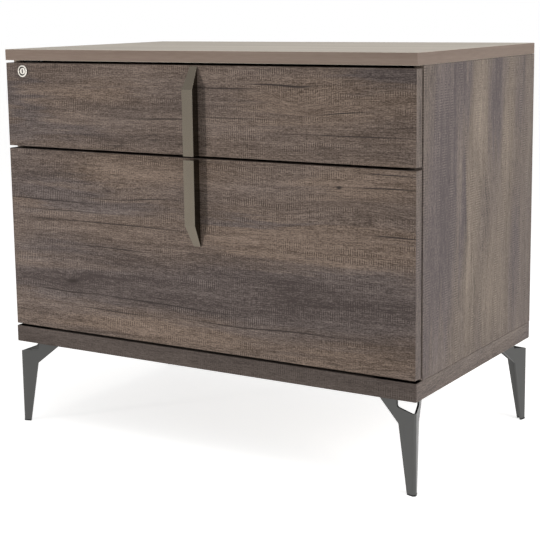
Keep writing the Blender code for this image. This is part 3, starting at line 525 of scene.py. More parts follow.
def weathered_oak(name, axes, tones, foil, shift=0.0, contrast=1.0, figure=None):
    """Oak foil, printed and embossed: bleached fibres over slate patches, saw marks and cracks.

    The figure holds the places of knots, which bend the fibres, of cracks, and of bleached and
    slate patches. The fibres wander by a few millimetres. The saw's teeth stand in short rows.
    """
    figure = figure or {"knots": (), "cracks": (), "bleached": (), "slate": ()}
    material, tree = start_material(name)
    along, across, sheet = sheet_place(tree, axes, shift)
    wander = stretched_noise(tree, sheet, (2.0, 6.0, 1.0), 2.0)
    bent = add(tree, "Math", (wander, 30 * MM, across), operation="MULTIPLY_ADD")
    bent = add(tree, "Math", (bent, spots(tree, sheet, figure["knots"])), operation="ADD")
    fibre = add(tree, "CombineXYZ", (along, bent, shift))
    fine = 1 / foil.grain_width
    layers = {
        "patches": (fibre, (2.0, 16.0, 1.0), 3.0),
        "hue": (fibre, (1.8, 9.0, 3.0), 2.0),
        "rings": (fibre, (3.6, 0.14 * fine, 1.0), 3.0),
        "streaks": (fibre, (14.0, 0.5 * fine, 1.0), 4.0),
        "fibres": (fibre, (55.0, 1.4 * fine, 1.0), 4.0),
        "veins": (fibre, (3.0, 0.12 * fine, 4.0), 2.0),
        "pores": (fibre, (0.5 * fine, 1.6 * fine, 1.0), 2.0),
        "rows": (sheet, (14.0, 110.0, 1.0), 1.0),
        "saw_place": (fibre, (4.0, 30.0, 5.0), 2.0),
    }
    noise = {layer: stretched_noise(tree, *values, roughness=0.68) for layer, values in layers.items()}
    inputs = {"Value": noise["saw_place"], "From Min": -0.06, "From Max": 0.16, "To Min": 0.15}
    saw_depth = add(tree, "MapRange", inputs, interpolation_type="SMOOTHSTEP")
    row = add(tree, "MapRange", {"Value": noise["rows"], "From Min": -0.1, "From Max": 0.1})
    saw_depth = add(tree, "Math", (saw_depth, row), operation="MULTIPLY")
    inputs = {"Vector": sheet, "Scale": WAVE_BAND / foil.saw_pitch, "Distortion": 1.5, "Detail Scale": 0.5}
    tooth = add(tree, "TexWave", inputs, "Fac", bands_direction="X")
    tooth = add(tree, "Math", (tooth, 0.5), operation="SUBTRACT")
    noise["saw"] = add(tree, "Math", (tooth, saw_depth), operation="MULTIPLY")
    # The edges of the patches are ragged: the year rings push them along and across.
    ragged = add(tree, "VectorMath", {0: (0.35, 0.07, 0.0), "Scale": noise["rings"]}, operation="SCALE")
    ragged = add(tree, "VectorMath", (ragged, fibre))
    bleached, slate = spots(tree, ragged, figure["bleached"]), spots(tree, ragged, figure["slate"])
    tone = add(tree, "Math", (bleached, slate), operation="SUBTRACT")
    tone = add(tree, "Math", (tone, 0.15, foil.tone), operation="MULTIPLY_ADD")
    weights = {"patches": 0.75, "rings": 0.6, "streaks": 0.9, "fibres": 1.7, "pores": 1.7, "saw": 0.75}
    for layer, weight in weights.items():
        tone = add(tree, "Math", (noise[layer], weight * contrast, tone), operation="MULTIPLY_ADD")
    grain = add(tree, "Clamp", (tone,))
    mixes = [add(tree, "Mix", {0: grain, 6: dark, 7: light}, 2, data_type="RGBA") for dark, light in tones]
    hue = add(tree, "Math", (noise["hue"], bleached), operation="ADD")
    hue = add(tree, "Math", (hue, slate), operation="SUBTRACT")
    inputs = {"Value": hue, "From Min": -0.6, "From Max": 0.4, "To Min": 0.05, "To Max": 0.95}
    hue = add(tree, "MapRange", inputs, interpolation_type="SMOOTHSTEP")
    wood = add(tree, "Mix", {0: hue, 6: mixes[0], 7: mixes[-1]}, 2, data_type="RGBA")
    crack = add(tree, "Math", (noise["veins"],), operation="ABSOLUTE")
    inputs = {"Value": crack, "From Min": 0.012, "From Max": 0.0, "To Max": 0.55 * contrast}
    crack = add(tree, "MapRange", inputs, interpolation_type="SMOOTHSTEP")
    inputs = {"Value": noise["patches"], "From Min": 0.02, "From Max": -0.1}
    shown = add(tree, "MapRange", inputs, interpolation_type="SMOOTHSTEP")
    placed = spots(tree, fibre, figure["cracks"])
    crack = add(tree, "Math", (crack, shown, placed), operation="MULTIPLY_ADD")
    broken = add(tree, "Math", (noise["fibres"], 3.0, 1.0), operation="MULTIPLY_ADD")
    crack = add(tree, "Math", (crack, broken), operation="MULTIPLY", use_clamp=True)
    wood = add(tree, "Mix", {0: crack, 6: wood, 7: foil.crack[:]}, 2, data_type="RGBA")
    rough = add(tree, "MapRange", {"Value": grain, "To Min": 0.76, "To Max": 0.64})
    height = add(tree, "Math", (crack, -1.0, grain), operation="MULTIPLY_ADD")
    inputs = {"Base Color": wood, "Roughness": rough, "Specular IOR Level": 0.3}
    finish_material(tree, height, 0.15 * MM, 0.6, inputs)
    return material


def pale_laminate(name, axes, tones):
    """Matt laminate with a washed-out wood print: long faint streaks and no open grain."""
    material, tree = start_material(name)
    sheet = sheet_place(tree, axes)[2]
    # Bands, streaks and fibres: their scale, detail and weight.
    layers = (((1.5, 14.0, 1.0), 2.0, 1.4), ((4.0, 110.0, 1.0), 3.0, 1.1), ((30.0, 500.0, 1.0), 2.0, 1.0))
    tone = 0.5
    for scale, detail, weight in layers:
        streak = stretched_noise(tree, sheet, scale, detail)
        tone = add(tree, "Math", (streak, weight, tone), operation="MULTIPLY_ADD")
    wood = add(tree, "Mix", {0: tone, 6: tones[0], 7: tones[1]}, 2, data_type="RGBA")
    grit = add(tree, "TexNoise", {"Vector": sheet, "Scale": 1 / (0.8 * MM), "Detail": 1.0})
    inputs = {"Base Color": wood, "Roughness": 0.66, "Specular IOR Level": 0.35}
    finish_material(tree, grit, 0.02 * MM, 0.5, inputs)
    return material


def melamine(name, base):
    """Melamine-faced board, pressed with a linen print: greige threads that cross along the axes.

    The threads are 2.5 mm apart, coarser than the real print, so that they show.
    """
    material, tree = start_material(name)
    place = add(tree, "TexCoord", output="Object")
    weave = 0.0
    for run in range(3):
        scale = [1 / (2.5 * MM)] * 3
        scale[run] = 1 / (60 * MM)
        threads = stretched_noise(tree, place, scale, 2.0)
        weave = add(tree, "Math", (threads, 1 / 3, weave), operation="MULTIPLY_ADD")
    inputs = {"Value": weave, "From Min": -0.2, "From Max": 0.2, "To Min": 0.8, "To Max": 1.2}
    shade = add(tree, "MapRange", inputs)
    tint = add(tree, "VectorMath", {0: base[:3], "Scale": shade}, operation="SCALE")
    finish_material(tree, weave, 0.05 * MM, 0.5, {"Base Color": tint, "Roughness": 0.55})
    return material


# Each plain finish: its settings and colour there, roughness, metallic, and its relief's grit and depth.
PLAIN_FINISHES = {
    # Anodising: a satin, slightly warm sheen that keeps the bar's edges crisp.
    "anodised_handle": ("handles", "finish", 0.2, 1.0, 0.6 * MM, 0.002 * MM),
    # Nickel plate: nearly a mirror, so the ring shows bright against the oak.
    "nickel_plate": ("lock", "finish", 0.14, 1.0, 0.5 * MM, 0.001 * MM),
    # Powder coat over steel: dull and even, with a fine orange peel.
    "powder_coated_steel": ("legs", "finish", 0.42, 1.0, 0.7 * MM, 0.02 * MM),
    # Zinc plate: bright and bluish, a little cloudy.
    "zinc_plate": ("fittings", "zinc", 0.34, 1.0, 0.6 * MM, 0.01 * MM),
    # Black zinc plate: as cloudy, and almost black.
    "black_zinc_plate": ("fittings", "black_zinc", 0.35, 1.0, 0.6 * MM, 0.01 * MM),
    # Moulded rubber: matt black with no gleam. In the lock the same black paints the shade in the keyhole.
    "moulded_rubber": ("fittings", "rubber", 0.75, 0.0, 0.5 * MM, 0.03 * MM),
}


def plain_finish(context, name):
    """Give one of the plain finishes: cloudy in tone and gloss, with a fine relief.

    The clouds are about 30 mm wide. They move the tone by up to 7 % and the roughness by up to 0.05.
    """
    if name in bpy.data.materials:
        return bpy.data.materials[name]
    group, part, roughness, metallic, grit, relief = PLAIN_FINISHES[name]
    base = getattr(getattr(context.scene.filing_cabinet, group), part)
    material, tree = start_material(name)
    place = add(tree, "TexCoord", output="Object")
    cloud = add(tree, "TexNoise", {"Vector": place, "Scale": 30.0, "Detail": 4.0})
    shade = add(tree, "MapRange", {"Value": cloud, "To Min": 0.93, "To Max": 1.07})
    tint = add(tree, "VectorMath", {0: base[:3], "Scale": shade}, operation="SCALE")
    rough = add(tree, "MapRange", {"Value": cloud, "To Min": roughness - 0.05, "To Max": roughness + 0.05})
    grain = add(tree, "TexNoise", {"Vector": place, "Scale": 1 / grit, "Detail": 2.0})
    inputs = {"Base Color": tint, "Roughness": rough, "Metallic": metallic}
    finish_material(tree, grain, relief, 0.4, inputs)
    return material


# The figure of the fronts, listed in millimetres: along, across, spread along, spread
# across, and an amount. Knots lift the fibres by their amount in metres. The others are shares.
FRONT_FIGURE = {
    "knots": (
        (215, 632, 60, 24, 0.017), (-290, 290, 40, 18, 0.009), (300, 455, 100, 22, -0.016),
        (-200, 455, 90, 20, 0.01),
    ),
    "cracks": (
        (-345, 586, 75, 0.6, 0.8), (-70, 594, 56, 0.9, 2.0), (60, 651, 62, 0.8, 1.4),
        (170, 658, 56, 0.8, 1.8), (80, 599, 81, 0.6, 1.2), (285, 613, 43, 0.8, 1.8),
        (310, 576, 106, 0.9, 1.3), (-335, 438, 94, 0.9, 1.6), (-150, 452, 112, 0.8, 1.4),
        (-300, 419, 75, 0.8, 1.2), (-170, 400, 138, 0.9, 1.4), (-190, 354, 75, 0.8, 1.4),
        (-305, 266, 43, 1.1, 1.6), (-80, 266, 138, 0.9, 1.4), (140, 246, 163, 0.9, 1.4),
        (-180, 240, 88, 0.8, 1.2), (380, 517, 44, 0.8, 1.6), (370, 494, 48, 0.9, 1.8),
        (388, 418, 37, 0.9, 1.8), (282, 493, 4, 2.2, 2.0), (-278, 293, 12, 4, 1.3),
    ),
    "bleached": (
        (240, 400, 180, 26, 1.0), (-110, 500, 110, 22, 0.8), (-220, 636, 90, 20, 0.6),
        (220, 628, 110, 30, 0.7), (330, 500, 80, 22, 0.9), (-80, 215, 180, 18, 0.7),
        (300, 212, 120, 16, 0.6),
    ),
    "slate": (
        (210, 303, 240, 40, 1.5), (-220, 284, 230, 24, 1.3), (-330, 455, 100, 24, 0.8),
        (-300, 345, 100, 16, 0.5), (-300, 560, 120, 12, 0.5), (-220, 430, 130, 12, 0.7),
        (140, 428, 120, 7, 0.8), (370, 672, 70, 16, 0.9), (-400, 610, 40, 60, 0.8),
        (-290, 288, 40, 16, 1.0),
    ),
}


# The figure of the side panels, in the same way: along the grain is up, across is back.
SIDE_FIGURE = {
    "knots": (
        (560, -10, 60, 30, 0.01), (400, 60, 70, 40, -0.014),
    ),
    "cracks": (
        (425, -55, 30, 1.2, 0.55), (560, 92, 40, 1, 0.35),
    ),
    "bleached": (
        (590, 12, 90, 26, 1.8), (390, -32, 110, 24, 1.8), (540, 128, 100, 22, 1.0),
        (300, 55, 70, 40, 1.0), (260, -150, 60, 30, 0.6),
    ),
    "slate": (
        (520, -140, 180, 40, 1.5), (330, -165, 110, 45, 1.1), (620, 82, 80, 22, 1.4),
        (420, -62, 70, 14, 1.2), (620, 190, 70, 24, 0.5), (310, 165, 80, 22, 0.5),
        (660, -60, 50, 40, 0.8),
    ),
}


def upturned(figure, middle):
    """Turn a figure end for end about a place along the grain."""
    return {part: [(2 * middle - spot[0], *spot[1:]) for spot in places] for part, places in figure.items()}


def dark_and_light(settings, kind):
    """Give the two tones that a kind of print runs between."""
    return getattr(settings, kind + "_dark")[:], getattr(settings, kind + "_light")[:]


def oak_finish(context, kind, axes):
    """Give the oak foil of the fronts, sides or base whose grain runs along the first axis."""
    foil = context.scene.filing_cabinet.foil
    fronts = [dark_and_light(foil, tone) for tone in ("slate", "tan")]
    # The side tones, lighter than the fronts', are partly painted light.
    sides = [dark_and_light(foil, tone) for tone in ("side_slate", "side")]
    base = [dark_and_light(foil, "base")]
    kinds = {
        "front": {"tones": fronts, "figure": FRONT_FIGURE},
        "side": {"tones": sides, "contrast": 0.9, "shift": 4.0, "figure": SIDE_FIGURE},
        "left": {"tones": sides, "contrast": 0.9, "shift": 13.0, "figure": upturned(SIDE_FIGURE, 440)},
        "base": {"tones": base, "contrast": 0.8, "shift": 8.0},
    }
    name = f"weathered_oak_{kind}_{axes}"
    return bpy.data.materials.get(name) or weathered_oak(name, axes=axes, foil=foil, **kinds[kind])


class CABINET_OT_boards(bpy.types.Operator):
    """Cover the fronts, the side panels and the base with oak foil, and round their banding"""

    bl_idname = "cabinet.boards"
    bl_label = "Oak Boards"

    def execute(self, context):
        radius = context.scene.filing_cabinet.foil.edge_radius
        # The kind of print and the axes of its grain on the faces that look along X, Y and Z.
        grains = {
            ("upper_front", "lower_front"): ("side_ZY", "front_XZ", "front_XY"),
            ("left_side_panel",): ("left_ZY", "left_ZX", "left_YX"),
            ("right_side_panel",): ("side_ZY", "side_ZX", "side_YX"),
            ("base_front_rail", "base_rear_rail"): ("base_ZY", "base_XZ", "base_XY"),
            ("base_left_rail", "base_right_rail"): ("side_YZ", "side_XZ", "side_YX"),
        }
        for nodes, prints in grains.items():
            finishes = tuple(oak_finish(context, *each.split("_")) for each in prints)
            for node in nodes:
                rings = board_rings(*corners(node), radius)
                add_rings("foil_" + node, rings, body_of(node), finishes, (node,))
        return {"FINISHED"}


class CABINET_OT_top(bpy.types.Operator):
    """Lay the laminate on the top panel, its face paler partly as painted light from above, and band its
    edges
    """

    bl_idname = "cabinet.top"
    bl_label = "Top Panel"

    def execute(self, context):
        settings = context.scene.filing_cabinet
        face, band = [dark_and_light(settings.top, part) for part in ("face", "band")]
        finishes = (
            pale_laminate("laminate_band_short", "YZ", band),
            pale_laminate("laminate_band_long", "XZ", band),
            pale_laminate("pale_laminate_face", "XY", face),
        )
        rings = board_rings(*corners("top_panel"), settings.foil.edge_radius)
        add_rings("laminated_top", rings, "cabinet", finishes, ("top_panel",))
        return {"FINISHED"}


class CABINET_OT_handles(bpy.types.Operator):
    """Make the two bars, undercut for the fingers, that read as one long handle on both fronts"""

    bl_idname = "cabinet.handles"
    bl_label = "Handles"

    def execute(self, context):
        settings = context.scene.filing_cabinet.handles
        finish = plain_finish(context, "anodised_handle")
        for drawer in ("upper", "lower"):
            node = drawer + "_handle"
            low, high = corners(node)
            width, full = high[0] - low[0], high[1] - low[1]
            levels, insets = eased_run(low[2], high[2], settings.edge_radius * 0.8)
            bend = high[2] - settings.slant if drawer == "upper" else low[2] + settings.slant
            rows = np.sort(np.append(levels, bend))
            depths = [full, full, settings.tip] if drawer == "upper" else [settings.tip, full, full]
            depth = np.interp(rows, [low[2], bend, high[2]], depths)
            insets = np.interp(rows, levels, insets)
            # The thin tip keeps a flat strip between its rounded edges.
            half = depth / 2 - insets * 0.9
            radius = np.minimum(settings.edge_radius, half) * 0.9
            outline = rounded_rectangle(width / 2 - insets, half, radius)
            y = high[1] - depth[:, None] / 2 + outline[..., 1]
            lean = settings.undercut / width * (y - low[1]) / full
            x = high[0] - (width / 2 - outline[..., 0]) * (1 - lean)
            rings = joined(x, y, rows[:, None])
            add_rings(drawer + "_bar_handle", rings, body_of(node), finish, (node,))
        return {"FINISHED"}


class CABINET_OT_lock(bpy.types.Operator):
    """Turn the lock's rosette and its plug, and sink the keyhole"""

    bl_idname = "cabinet.lock"
    bl_label = "Lock"

    def execute(self, context):
        settings = context.scene.filing_cabinet.lock
        finish, rubber = plain_finish(context, "nickel_plate"), plain_finish(context, "moulded_rubber")
        (low, high), (plug_low, plug_high) = corners("lock_barrel"), corners("lock_plug")
        centre = ((low[0] + high[0]) / 2, 0.0, (low[2] + high[2]) / 2)
        rim, plug_radius = (high[0] - low[0]) / 2, (plug_high[0] - plug_low[0]) / 2
        bore, face, dish = plug_radius + SEAT, low[1], low[1] + settings.groove_depth
        tube, inner = rim * 0.8, rim - settings.ring_width
        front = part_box("upper_front")[0].y
        arris, slope, gap, seal = 0.2 * MM, 0.5 * MM, 0.1 * MM, 0.5 * MM
        t = np.linspace(0, pi / 2, ARC_STEPS + 1)
        edge = (front - face) * 0.45
        profile = [*zip(rim - edge + edge * np.sin(t), face + edge - edge * np.cos(t))]
        profile += [(rim, front - SEAT), (tube, front - SEAT), (tube, high[1]), (bore, high[1])]
        profile += [(bore, dish + arris), (bore + arris, dish), (inner, dish), (inner + slope, face)]
        rings = turned_rings(profile, centre)
        add_rings(
            "lock_rosette", rings, "upper_drawer", finish, ("lock_barrel",), closed=True
        )
        bored(bpy.data.objects["foil_upper_front"], centre, settings.barrel_radius)
        rings = plug_rings(settings, centre, plug_radius, plug_low[1], high[1], plug_high[1])
        add_rings("keyed_plug", rings, "lock_plug", finish, ("lock_plug",))
        # A ring of black rubber lies on the floor of the dish, so that the groove inside the rosette's ring
        # reads dark.
        near, far = bore + gap, inner - gap
        profile = [(near, dish - seal), (far, dish - seal), (far, dish), (near, dish)]
        rings = turned_rings(profile, centre)
        add_rings("lock_dust_seal", rings, "upper_drawer", rubber, closed=True)
        # A black rubber insert, painted shade for the deep keyhole, fills it from just under its mouth, and
        # is smaller at its own face.
        width = np.array([0.8, 0.96, 0.96]) * settings.key_width / 2
        height = np.array([0.95, 0.98, 0.98]) * settings.key_height / 2
        outline = rounded_rectangle(width, height, np.full(3, settings.key_width * 0.35))
        levels = plug_low[1] + np.array([0.45 * MM, 0.6 * MM, settings.key_depth - gap])
        add_rings("keyhole_shutter", upright(outline, levels, centre), "lock_plug", rubber)
        return {"FINISHED"}


def upright(outline, levels, centre):
    """Stand outlines of (across, up) points on an axis along Y, each at its own level there."""
    return joined(centre[0] + outline[..., 0], levels[:, None], centre[2] + outline[..., 1])


def plug_rings(lock, centre, radius, face, barrel_end, tail_end):
    """Carry the plug's section from the floor of its keyhole, out over its face, to its tail.

    The keyhole is a rounded rectangle and the rest are circles, each with one point for each
    of the rectangle's. A circle's point is centre + radius * (cos t, sin t).
    """
    width, height = np.array([0.9, 1.0, 1.1]) * lock.key_width / 2, np.full(3, lock.key_height / 2)
    keyhole = rounded_rectangle(width, height, np.full(3, lock.key_width * 0.4))
    sides, mouth = keyhole.shape[1], 0.3 * MM
    t = (np.arange(sides) + 0.5) * 2 * pi / sides
    inner = radius - lock.bevel
    profile = [(inner, face), (radius, face + lock.bevel), (radius, barrel_end)]
    profile += [(lock.tail_radius, barrel_end), (lock.tail_radius, tail_end)]
    reach, depth = np.array(profile).T[:, :, None]
    outline = np.concatenate([keyhole, reach[..., None] * joined(np.cos(t), np.sin(t))])
    levels = np.concatenate([[face + lock.key_depth, face + mouth, face], depth[:, 0]])
    return upright(outline, levels, centre)


class CABINET_OT_legs(bpy.types.Operator):
    """Fold the four legs from sheet steel"""

    bl_idname = "cabinet.legs"
    bl_label = "Legs"

    def execute(self, context):
        legs = context.scene.filing_cabinet.legs
        finish = plain_finish(context, "powder_coated_steel")
        zinc = plain_finish(context, "black_zinc_plate")
        plate, places = plate_rings(legs)
        shells = [leg_rings(legs), plate]
        screws = [stood(screw_rings(*LEG_SCREW), place, (0, 0, -1)) for place in places]
        for name, corner, turn in leg_corners():
            node = "leg_" + name
            stand = np.array(Matrix.Rotation(-turn, 3, "Z"))
            placed = [rings @ stand + corner for rings in shells]
            add_rings("folded_" + node, placed, "cabinet", finish, (node,))
            placed = [rings @ stand + corner for rings in screws]
            add_rings("screws_of_" + node, placed, "cabinet", zinc)
        return {"FINISHED"}


def fold_sizes(legs):
    """Give the fold's outside radius, its axis's distance from both faces, and its reach.

    A leg's lengths run along a flange from the plane that touches the side of the fold. The
    flange starts outside * (1 + sin a) / cos a from that plane, with a the splay.
    """
    outside = legs.steel + legs.bend_inside
    return outside, legs.inset + outside, outside * (1 + sin(legs.splay)) / cos(legs.splay)


def flange_place(legs, along, outwards):
    """Give the plan place of a point on the flange that runs along +X.

    It is the bend's axis + outwards * (sin a, -cos a) + along * (cos a, sin a), with a the splay.
    """
    axis = fold_sizes(legs)[1]
    x = axis + outwards * sin(legs.splay) + along * cos(legs.splay)
    return x, axis - outwards * cos(legs.splay) + along * sin(legs.splay)


def plate_rings(legs):
    """Carry the plate's outline up through its thickness, and place its four screws under it."""
    outside, _, fold = fold_sizes(legs)
    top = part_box("leg_front_left")[1].z - SEAT
    weld, inwards = outside - legs.steel / 2, outside - legs.steel - legs.screw_side
    near = flange_place(legs, legs.notch_length - fold + legs.plate_margin, weld)
    far = flange_place(legs, legs.arm_length - fold - legs.plate_margin * 2, weld)
    outline = np.array([near, far, far[::-1], near[::-1]])
    centre = outline.mean(axis=0)
    levels, insets = eased_run(top - legs.plate, top, legs.cut_radius)
    reach = np.linalg.norm(outline - centre, axis=1, keepdims=True)
    plan = centre + (outline - centre) * (1 - insets[:, None, None] / reach)
    rings = joined(plan[..., 0], plan[..., 1], levels[:, None])
    places = []
    for along in (legs.notch_length + legs.screw_end, legs.arm_length - legs.screw_end * 1.5):
        x, y = flange_place(legs, along - fold, inwards)
        places += [(x, y, top - legs.plate), (y, x, top - legs.plate)]
    return rings, places


def leg_corners():
    """Give each leg's name, its corner of the base at floor level, and its quarter turns."""
    low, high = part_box("base_front_rail")[0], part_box("base_rear_rail")[1]
    places = (("front_left", low.x, low.y), ("front_right", high.x, low.y))
    places += (("rear_right", high.x, high.y), ("rear_left", low.x, high.y))
    return [(name, np.array((x, y, 0.0)), quarter * pi / 2) for quarter, (name, x, y) in enumerate(places)]


def leg_rings(legs):
    """Carry the sheet's rounded section from the tip of one arm, round the fold, to the other tip.

    Along a flange the middle of the sheet runs straight at the splay angle. In the fold it
    is an arc about the bend's axis. At each place the section is as tall as the flange there:
    its upper edge follows the notch, then the base, and its lower edge the foot, knee and arm.
    """
    outside, axis, fold = fold_sizes(legs)
    foot, top = [corner.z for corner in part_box("leg_front_left")]
    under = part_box("base_front_rail")[0].z
    notch_end, arm_end = legs.notch_length - fold, legs.arm_length - fold
    knee, foot_end = legs.knee_length - fold, legs.foot_width - fold
    notch_level = under - legs.notch_drop + legs.notch_rise
    t = np.linspace(-pi / 2, 0, ARC_STEPS + 1)
    arc = notch_end - legs.notch_radius * (1 - np.cos(t)), notch_level + legs.notch_radius * (1 + np.sin(t))
    step, tip = 0.1 * MM, 1.2 * MM
    upper_at = np.concatenate([[0.0], arc[0], [notch_end + step, arm_end]])
    upper = np.concatenate([[under - legs.notch_drop], arc[1], [top, top]])
    lower_at, lower = [0.0, foot_end, knee, arm_end], [foot, foot, under - legs.knee_drop, top - tip]
    columns = np.unique(np.concatenate([upper_at, lower_at, np.linspace(0, arm_end, ARM_STEPS + 1)]))
    fold_angles = np.linspace(pi - legs.splay, 1.5 * pi + legs.splay, FOLD_STEPS + 1)
    middle = outside - legs.steel / 2
    facing = np.array((sin(legs.splay), -cos(legs.splay)))
    flange = joined(*flange_place(legs, columns, middle))
    arc_facing = joined(np.cos(fold_angles), np.sin(fold_angles))[1:-1]
    plan = np.concatenate([flange[::-1, ::-1], axis + middle * arc_facing, flange])
    one = np.broadcast_to(facing, flange.shape)
    normal = np.concatenate([one[:, ::-1], arc_facing, one])
    distance = np.concatenate([columns[::-1], np.zeros(len(arc_facing)), columns])
    high, low = np.interp(distance, upper_at, upper), np.interp(distance, lower_at, lower)
    half = (high - low) / 2
    radius = np.minimum(legs.cut_radius, half * 0.9)
    outline = rounded_rectangle(np.full(len(half), legs.steel / 2), half, radius)
    rings = np.empty((*outline.shape[:2], 3))
    rings[..., :2] = plan[:, None] + outline[..., :1] * normal[:, None]
    rings[..., 2] = ((high + low) / 2)[:, None] + outline[..., 1]
    return rings


class CABINET_OT_runners(bpy.types.Operator):
    """Roll the three members of each runner, with their bends and screws"""

    bl_idname = "cabinet.runners"
    bl_label = "Runners"

    def execute(self, context):
        fittings = context.scene.filing_cabinet.fittings
        zinc = plain_finish(context, "zinc_plate")
        for drawer in ("upper", "lower"):
            for side_name, side in SIDES.items():
                for member in ("outer", "middle", "inner"):
                    node = f"{drawer}_{side_name}_{member}_rail"
                    shells = runner_shells(fittings, node, side, member)
                    add_rings("rolled_" + node, shells, body_of(node), zinc, (node,))
        return {"FINISHED"}


def runner_shells(fittings, node, side, member):
    """Carry a member's section along the drawer's way, and stand its screws in it.

    The inward distance is counted from the carcass side: x = side * (carcass half - inward).
    """
    low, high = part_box(node)
    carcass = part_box("bottom_panel")[1].x + SEAT
    near, far = sorted(carcass - side * x for x in (low.x, high.x))
    web, lip = {"outer": (SEAT, far), "middle": (near, far), "inner": (fittings.width, near)}[member]
    level, half = (low.z + high.z) / 2, (high.z - low.z) / 2
    section = channel_outline(web, lip, half, fittings.steel, fittings.bend)
    stations = np.array([low.y, high.y])[:, None]
    across, up = side * (carcass - section[:, 0]), level + section[:, 1]
    shells = [joined(across, stations, up)]
    size, facing = (BOX_SCREW, side) if member == "inner" else (WOOD_SCREW, -side)
    seat = web - fittings.steel if member == "inner" else web + fittings.steel
    for y in (low.y + fittings.screw_distance, high.y - fittings.screw_distance):
        if member != "middle":
            place = (side * (carcass - seat), y, level)
            shells.append(stood(screw_rings(*size), place, (facing, 0, 0)))
    return shells


class CABINET_OT_screws(bpy.types.Operator):
    """Make the screws of the handles, the lock's cam and the strike"""

    bl_idname = "cabinet.screws"
    bl_label = "Screws"

    def execute(self, context):
        zinc = plain_finish(context, "zinc_plate")
        # The screws' size, the axis and the way that their heads look, and their nodes.
        groups = {}
        for drawer in ("upper", "lower"):
            nodes = [f"{drawer}_handle_screw_{end}" for end in ("top", "bottom")]
            groups[drawer + "_handle_screws"] = (HANDLE_SCREW, 1, 1, *nodes)
        groups["cam_screw"] = (CAM_SCREW, 1, 1, "lock_cam_screw")
        groups["strike_screws"] = (WOOD_SCREW, 2, -1, "strike_screw_left", "strike_screw_right")
        for name, (size, axis, way, *nodes) in groups.items():
            direction = [0, 0, 0]
            direction[axis] = way
            shells = []
            for node in nodes:
                low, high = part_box(node)
                place = (low + high) / 2
                place[axis] = (high if way > 0 else low)[axis] - way * size[1]
                shells.append(stood(screw_rings(*size), place, direction))
            add_rings(name, shells, body_of(nodes[0]), zinc, nodes)
        return {"FINISHED"}


class CABINET_OT_fittings(bpy.types.Operator):
    """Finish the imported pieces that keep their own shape"""

    bl_idname = "cabinet.fittings"
    bl_label = "Fittings"

    def execute(self, context):
        board = melamine("melamine_board", context.scene.filing_cabinet.fittings.board[:])
        rubber, black, zinc = [
            plain_finish(context, name) for name in ("moulded_rubber", "black_zinc_plate", "zinc_plate")
        ]
        words = {"foot_pad": rubber, "buffer": rubber, "lock_strike": black, "rail": zinc, "lock": zinc}
        for name, node in frame["nodes"].items():
            if node.hide_render:
                continue
            finish = next((made for word, made in words.items() if word in name), board)
            node.data.materials.clear()
            node.data.materials.append(finish)
        return {"FINISHED"}


# Each lamp's place from the middle of the cabinet, its width and its spread. The key lights without
# being mirrored, because it would stand in the metal as a hot spot. Its spread keeps it off the floor
# beside it, which the lower handle mirrors. The card is only mirrored.
LAMPS = {
    "key": ((-2.60, -3.04, -0.22), 0.45, radians(70)),
    "card": ((-1.95, -2.25, 0.45), 1.6, pi),
    "side": ((2.6, -0.5, 0.9), 1.6, pi),
    "overhead": ((0.0, -0.4, 2.2), 2.0, pi),
}


class CABINET_OT_stage(bpy.types.Operator):
    """Set the floor, the studio, the lamps and the camera"""

    bl_idname = "cabinet.stage"
    bl_label = "Stage"

    def execute(self, context):
        stage = context.scene.filing_cabinet.stage
        middle = (CAD_BOX[0] + CAD_BOX[1]) / 2
        lay_floor(stage)
        light_world(context, stage)
        for name, (place, width, spread) in LAMPS.items():
            lamp = bpy.data.lights.new(name, "AREA")
            lamp.energy, lamp.shape = getattr(stage, name + "_watts"), "DISK"
            lamp.size, lamp.spread = width, spread
            holder = put(name + "_lamp", lamp)
            holder.location = middle + Vector(place)
            holder.rotation_euler = (-Vector(place)).to_track_quat("-Z", "Y").to_euler()
            holder.visible_camera = False
            holder.visible_glossy = name != "key"
            holder.visible_diffuse = name != "card"
        camera = bpy.data.cameras.new("camera")
        camera.lens, camera.shift_y = stage.lens, stage.shift
        camera.clip_start, camera.clip_end = 0.01, 100.0
        holder = put("camera", camera)
        turns = ((stage.camera_turn, "Z"), (pi / 2 - stage.camera_pitch, "X"), (stage.camera_roll, "Z"))
        place = Matrix.Translation(stage.camera_place)
        for turn, axis in turns:
            place = place @ Matrix.Rotation(turn, 4, axis)
        holder.matrix_world = place
        context.scene.camera = holder
        context.scene.view_settings.view_transform = "Standard"
        return {"FINISHED"}


def lay_floor(stage):
    """Lay seamless paper: matt and pale, and white to the camera where no shadow falls on it."""
    half = 20.0
    corners = [(-half, -half, 0.0), (half, -half, 0.0), (half, half, 0.0), (-half, half, 0.0)]
    mesh = bpy.data.meshes.new("paper_floor")
    mesh.from_pydata(corners, [], [(0, 1, 2, 3)])
    material, tree = start_material("seamless_paper")
    place = add(tree, "TexCoord", output="Object")
    fibres = add(tree, "TexNoise", {"Vector": place, "Scale": 1 / (3 * MM), "Detail": 2.0})
    shade = add(tree, "MapRange", {"Value": fibres, "To Min": 0.985, "To Max": 1.0})
    tint = add(tree, "VectorMath", {0: stage.paper[:3], "Scale": shade}, operation="SCALE")
    shader = tree.nodes["Principled BSDF"]
    connect(tree, shader, {"Base Color": tint, "Roughness": 0.9})
    glow = add(tree, "Emission", {"Color": (1.0, 1.0, 1.0, 1.0), "Strength": 1.0})
    seen = add(tree, "LightPath").node.outputs
    share = add(tree, "Math", (seen["Is Camera Ray"], stage.glow), operation="MULTIPLY")
    for ray in ("Is Glossy Ray", "Is Transmission Ray"):
        share = add(tree, "Math", (share, seen[ray]), operation="MAXIMUM")
    both = add(tree, "AddShader", (shader.outputs[0], glow))
    lit = add(tree, "MixShader", (share, shader.outputs[0], both))
    connect(tree, tree.nodes["Material Output"], {"Surface": lit})
    mesh.materials.append(material)
    put("paper_floor", mesh)


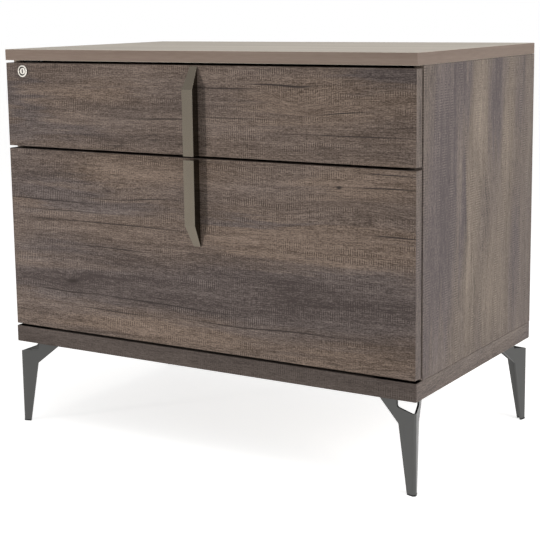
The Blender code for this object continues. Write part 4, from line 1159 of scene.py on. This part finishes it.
def light_world(context, stage):
    """Make the studio round the cabinet: white to look at, softer as a light."""
    world = bpy.data.worlds.new("studio")
    world.use_nodes = True
    tree = world.node_tree
    seen = add(tree, "LightPath").node.outputs
    direct = seen["Is Camera Ray"]
    for ray in ("Is Glossy Ray", "Is Transmission Ray"):
        direct = add(tree, "Math", (direct, seen[ray]), operation="MAXIMUM")
    strength = add(tree, "MapRange", {"Value": direct, "To Min": stage.sky, "To Max": 1.0})
    connect(tree, tree.nodes["Background"], {"Color": (1.0, 1.0, 1.0, 1.0), "Strength": strength})
    context.scene.world = world


OPERATORS = (
    CABINET_OT_boards,
    CABINET_OT_top,
    CABINET_OT_handles,
    CABINET_OT_lock,
    CABINET_OT_legs,
    CABINET_OT_runners,
    CABINET_OT_screws,
    CABINET_OT_fittings,
    CABINET_OT_stage,
)


class CABINET_PT_sidebar(bpy.types.Panel):
    """The steps that build the cabinet, in order"""

    bl_idname = "CABINET_PT_sidebar"
    bl_label = "Filing Cabinet"
    bl_space_type = "VIEW_3D"
    bl_region_type = "UI"
    bl_category = "Cabinet"

    def draw(self, context):
        for operator in OPERATORS:
            self.layout.operator(operator.bl_idname)


GROUPS = (
    FoilSettings,
    TopSettings,
    HandleSettings,
    LegSettings,
    LockSettings,
    FittingSettings,
    StageSettings,
    CabinetSettings,
)


def register():
    """Name each setting after its attribute, and register the settings, the operators and the panel."""
    for group in GROUPS:
        for name, declared in group.__annotations__.items():
            declared.keywords["name"] = name.replace("_", " ").capitalize()
    for each in (*GROUPS, *OPERATORS, CABINET_PT_sidebar):
        bpy.utils.register_class(each)
    bpy.types.Scene.filing_cabinet = PointerProperty(type=CabinetSettings)


def unregister():
    """Take the panel, the operators and the settings away again."""
    del bpy.types.Scene.filing_cabinet
    for each in reversed((*GROUPS, *OPERATORS, CABINET_PT_sidebar)):
        bpy.utils.unregister_class(each)


def main():
    """Register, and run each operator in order."""
    register()
    for operator in OPERATORS:
        group, name = operator.bl_idname.split(".")
        getattr(getattr(bpy.ops, group), name)()


if __name__ == "__main__":
    main()
